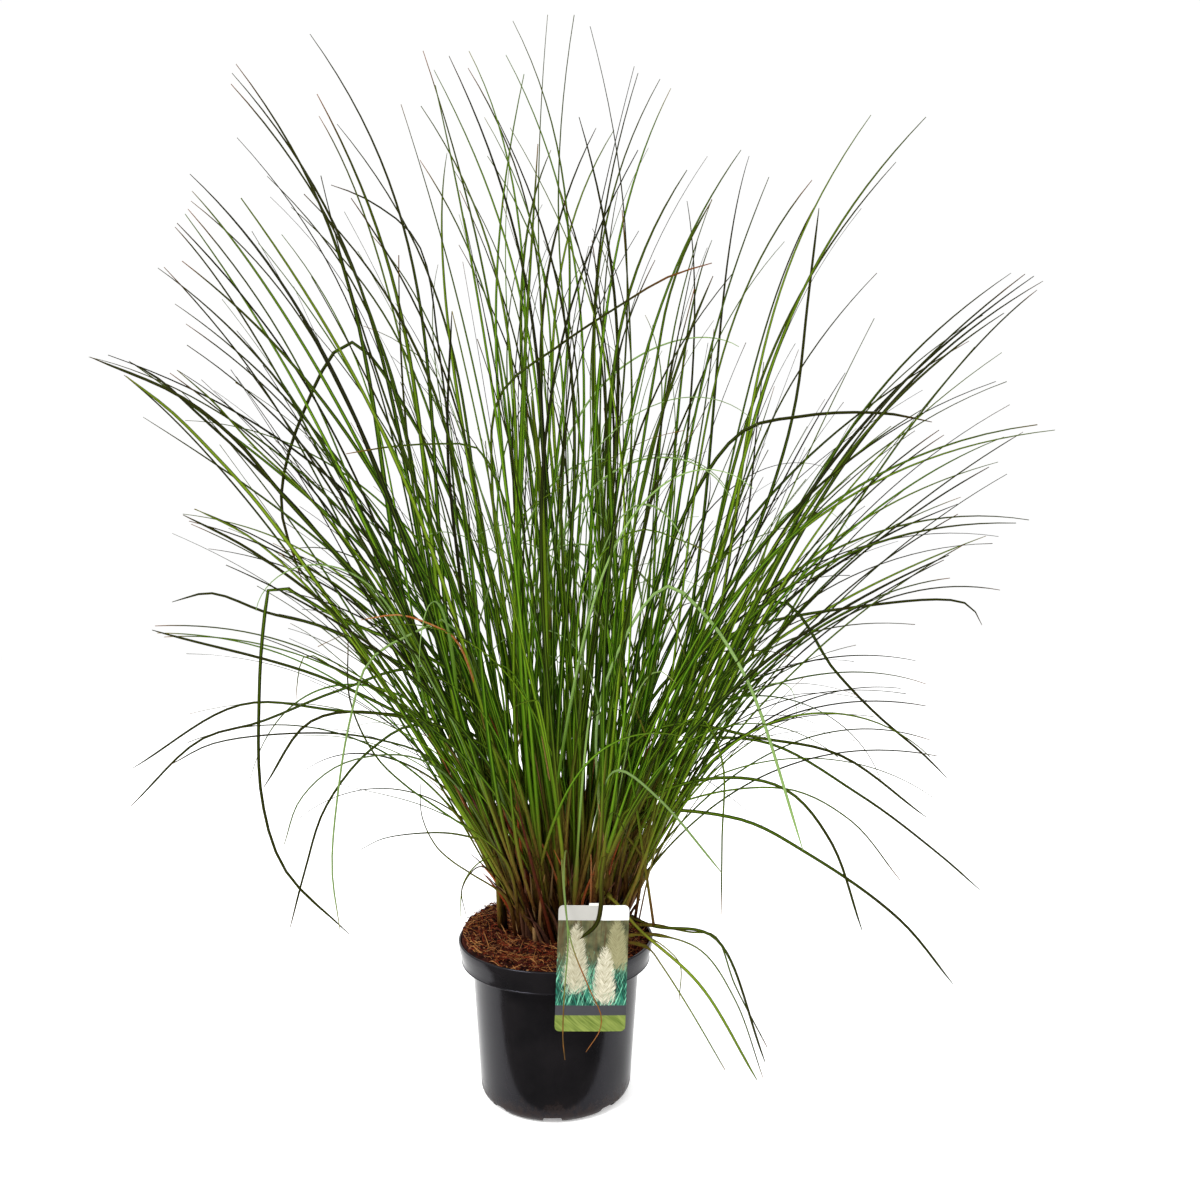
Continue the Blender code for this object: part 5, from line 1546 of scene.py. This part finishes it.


# Offset print on white polypropylene sheet, lacquered satin, so that it shines softly all over. The
# print is a meadow with plumes, a dark band, a lime foot and a bare white head, whose left part is
# grey with a painted shadow
printed, shader = new_material("printed_satin_polypropylene_card")
card_uv = add_node(printed, "ShaderNodeUVMap", uv_map="card")
axes = add_node(printed, "ShaderNodeSeparateXYZ", {"Vector": card_uv.outputs["UV"]})
place_mm = add_node(printed, "ShaderNodeMapping", {
    "Vector": card_uv.outputs["UV"], "Scale": (LABEL_WIDTH * 1000, LABEL_HEIGHT * 1000, 1)})
soft_noise = add_node(printed, "ShaderNodeTexNoise", {
    "Vector": place_mm.outputs[0], "Scale": 1 / BACKDROP_PATCH_MM, "Detail": 3, "Roughness": 0.5})
meadow_light = drawn_blades(printed, place_mm.outputs[0], 0.30, 0.9, 3.0)
meadow_dark = drawn_blades(printed, place_mm.outputs[0], -0.35, 0.8, 40.0)
haze = drawn_blades(printed, place_mm.outputs[0], 0.05, 0.35, 90.0)
lime_streaks = drawn_blades(printed, place_mm.outputs[0], -0.9, 0.7, 10.0)
meadow_top = add_node(printed, "ShaderNodeMath", {
    0: meadow_dark, 1: 0.5, 2: axes.outputs["Y"]}, operation="MULTIPLY_ADD")
# Each layer: what it is laid on, its colour, and where its pattern changes from not shown to fully shown
layers = {}
for name, below, colour, pattern, shown_from, shown_to in (
        ("backdrop", "#2b3620", "#6d6a45", soft_noise.outputs["Fac"], 0.3, 0.7),
        ("brown_haze", "backdrop", "#4c3a20", haze, 0.46, 0.70),
        ("meadow", "#08251f", "#1a6a54", meadow_dark, 0.43, 0.57),
        ("bright_meadow", "meadow", "#6fb897", meadow_light, 0.53, 0.63),
        ("picture", "bright_meadow", "brown_haze", meadow_top.outputs[0], 0.68, 0.88),
        # The head is white, with a painted shadow in grey over its left part
        ("head_with_painted_shadow", "#a9a7a1", "#f4f4f4", axes.outputs["X"], 0.60, 0.64),
        ("lime", "#55681f", "#7e8c3e", lime_streaks, 0.35, 0.65),
        ("foot", "lime", "#3c3c40", axes.outputs["Y"], NAME_BAND_FOOT - 0.002, NAME_BAND_FOOT + 0.002)):
    shown = add_node(printed, "ShaderNodeMapRange", {
        "Value": pattern, "From Min": shown_from, "From Max": shown_to, "To Min": 0, "To Max": 1})
    under, over = [layers[tint].outputs[2] if tint in layers else linear(tint) for tint in (below, colour)]
    layers[name] = add_node(printed, "ShaderNodeMix", {
        0: shown.outputs[0], 6: under, 7: over}, data_type="RGBA")
picture = layers["picture"]
# Each plume, the farthest first: its middle, its foot, its half width and half height, and its colour
for middle, foot, size, tint in ((0.84, 0.50, (0.14, 0.19), "#8f8c66"),
                                 (0.27, 0.32, (0.15, 0.26), "#b9b49c"),
                                 (0.68, 0.23, (0.14, 0.21), "#c9c4ae")):
    plume, strands = drawn_plume(printed, axes, middle, foot, size)
    lit = add_node(printed, "ShaderNodeMapRange", {
        "Value": strands, "From Min": 0.30, "From Max": 0.62, "To Min": 0, "To Max": 1})
    feathers = add_node(printed, "ShaderNodeMix", {
        0: lit.outputs[0], 6: linear("#6f6846"), 7: linear(tint)}, data_type="RGBA")
    picture = add_node(printed, "ShaderNodeMix", {
        0: plume, 6: picture.outputs[2], 7: feathers.outputs[2]}, data_type="RGBA")
print_colour = layers["foot"]
for edge, part in ((PICTURE_FOOT, picture), (PICTURE_TOP, layers["head_with_painted_shadow"])):
    shown = add_node(printed, "ShaderNodeMath", {0: axes.outputs["Y"], 1: edge}, operation="GREATER_THAN")
    print_colour = add_node(printed, "ShaderNodeMix", {
        0: shown.outputs[0], 6: print_colour.outputs[2], 7: part.outputs[2]}, data_type="RGBA")
# The print is on the front only; the back and the edges are bare
facing = add_node(printed, "ShaderNodeNewGeometry")
facing_axes = add_node(printed, "ShaderNodeSeparateXYZ", {"Vector": facing.outputs["True Normal"]})
is_back = add_node(printed, "ShaderNodeMath", {0: facing_axes.outputs["Y"], 1: -0.5},
                   operation="GREATER_THAN")
finished = add_node(printed, "ShaderNodeMix", {
    0: is_back.outputs[0], 6: print_colour.outputs[2], 7: linear("#f1f0ec")}, data_type="RGBA")
link(printed, finished.outputs[2], shader.inputs["Base Color"])
shader.inputs["Roughness"].default_value = 0.32
shader.inputs["IOR"].default_value = 1.49

shape = bmesh.new()
bmesh.ops.create_grid(shape, x_segments=1, y_segments=1, size=0.5)
bmesh.ops.scale(shape, vec=(LABEL_WIDTH, LABEL_HEIGHT, 1), verts=shape.verts)
bmesh.ops.bevel(shape, geom=shape.verts[:], offset=LABEL_CORNER, offset_type="OFFSET", segments=8,
                profile=0.5, affect="VERTICES", material=-1)
raised = bmesh.ops.extrude_face_region(shape, geom=shape.faces[:])
bmesh.ops.translate(shape, vec=(0, 0, LABEL_THICKNESS),
                    verts=[item for item in raised["geom"] if isinstance(item, bmesh.types.BMVert)])
for i in range(1, LABEL_ROWS):
    cut_through(shape, (0, LABEL_HEIGHT * (i / LABEL_ROWS - 0.5), 0), (0, 1, 0))
    cut_through(shape, (LABEL_WIDTH * (i / LABEL_ROWS - 0.5), 0, 0), (1, 0, 0))
bmesh.ops.recalc_face_normals(shape, faces=shape.faces)
card_layer = shape.loops.layers.uv.new("card")
for face in shape.faces:
    for loop in face.loops:
        loop[card_layer].uv = (loop.vert.co.x / LABEL_WIDTH + 0.5, loop.vert.co.y / LABEL_HEIGHT + 0.5)
for vert in shape.verts:
    x, z, y = vert.co
    bow = LABEL_BOW * (1 - (2 * x / LABEL_WIDTH) ** 2)
    z += LABEL_HEIGHT / 2
    vert.co = (LABEL_X + x + math.sin(LABEL_TILT) * (z - LABEL_HEIGHT),
               LABEL_Y - y + LABEL_THICKNESS / 2 - bow, LABEL_FOOT + z)
label_card = new_piece("printed_plant_label", shape, printed, 40)

# The stake is the same sheet, cut to a strip and not printed: smooth and satin, with faint scuffs
stake_white, shader = new_material("bare_white_polypropylene_strip")
place = add_node(stake_white, "ShaderNodeTexCoord")
scuffs = add_node(stake_white, "ShaderNodeTexNoise", {
    "Vector": place.outputs["Object"], "Scale": 1000 / SCUFF_MM, "Detail": 5, "Roughness": 0.7})
scuffed = add_node(stake_white, "ShaderNodeMix", {
    0: scuffs.outputs["Fac"], 6: linear("#dedcd4"), 7: linear("#f4f3ef")}, data_type="RGBA")
link(stake_white, scuffed.outputs[2], shader.inputs["Base Color"])
shader.inputs["Roughness"].default_value = 0.35
shader.inputs["IOR"].default_value = 1.49
shape = bmesh.new()
top = LABEL_FOOT + LABEL_HEIGHT - STAKE_FOLD_RADIUS / 2
stake_route = [(LABEL_Y + 0.0008, top - STAKE_TAB)]
stake_route += [(LABEL_Y + 0.0004 + STAKE_FOLD_RADIUS + y, top + z)
                for y, z in arc(0, 0, STAKE_FOLD_RADIUS, 180, 20, 16)]
stake_route += [(STAKE_Y - 0.004, POT_HEIGHT + 0.026), (STAKE_Y, POT_HEIGHT + 0.010), (STAKE_Y, STAKE_END)]
points = [shape.verts.new((LABEL_X - STAKE_WIDTH / 2, y, z)) for y, z in stake_route]
edges = [shape.edges.new(pair) for pair in zip(points, points[1:])]
swept = bmesh.ops.extrude_edge_only(shape, edges=edges)
bmesh.ops.translate(shape, vec=(STAKE_WIDTH, 0, 0),
                    verts=[item for item in swept["geom"] if isinstance(item, bmesh.types.BMVert)])
bmesh.ops.solidify(shape, geom=shape.faces[:], thickness=LABEL_THICKNESS * 0.8)
bmesh.ops.recalc_face_normals(shape, faces=shape.faces)
label_stake = new_piece("folded_label_stake", shape, stake_white, 40)
for part in (label_card, label_stake):
    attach(part, "root")
    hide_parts("plant_label")
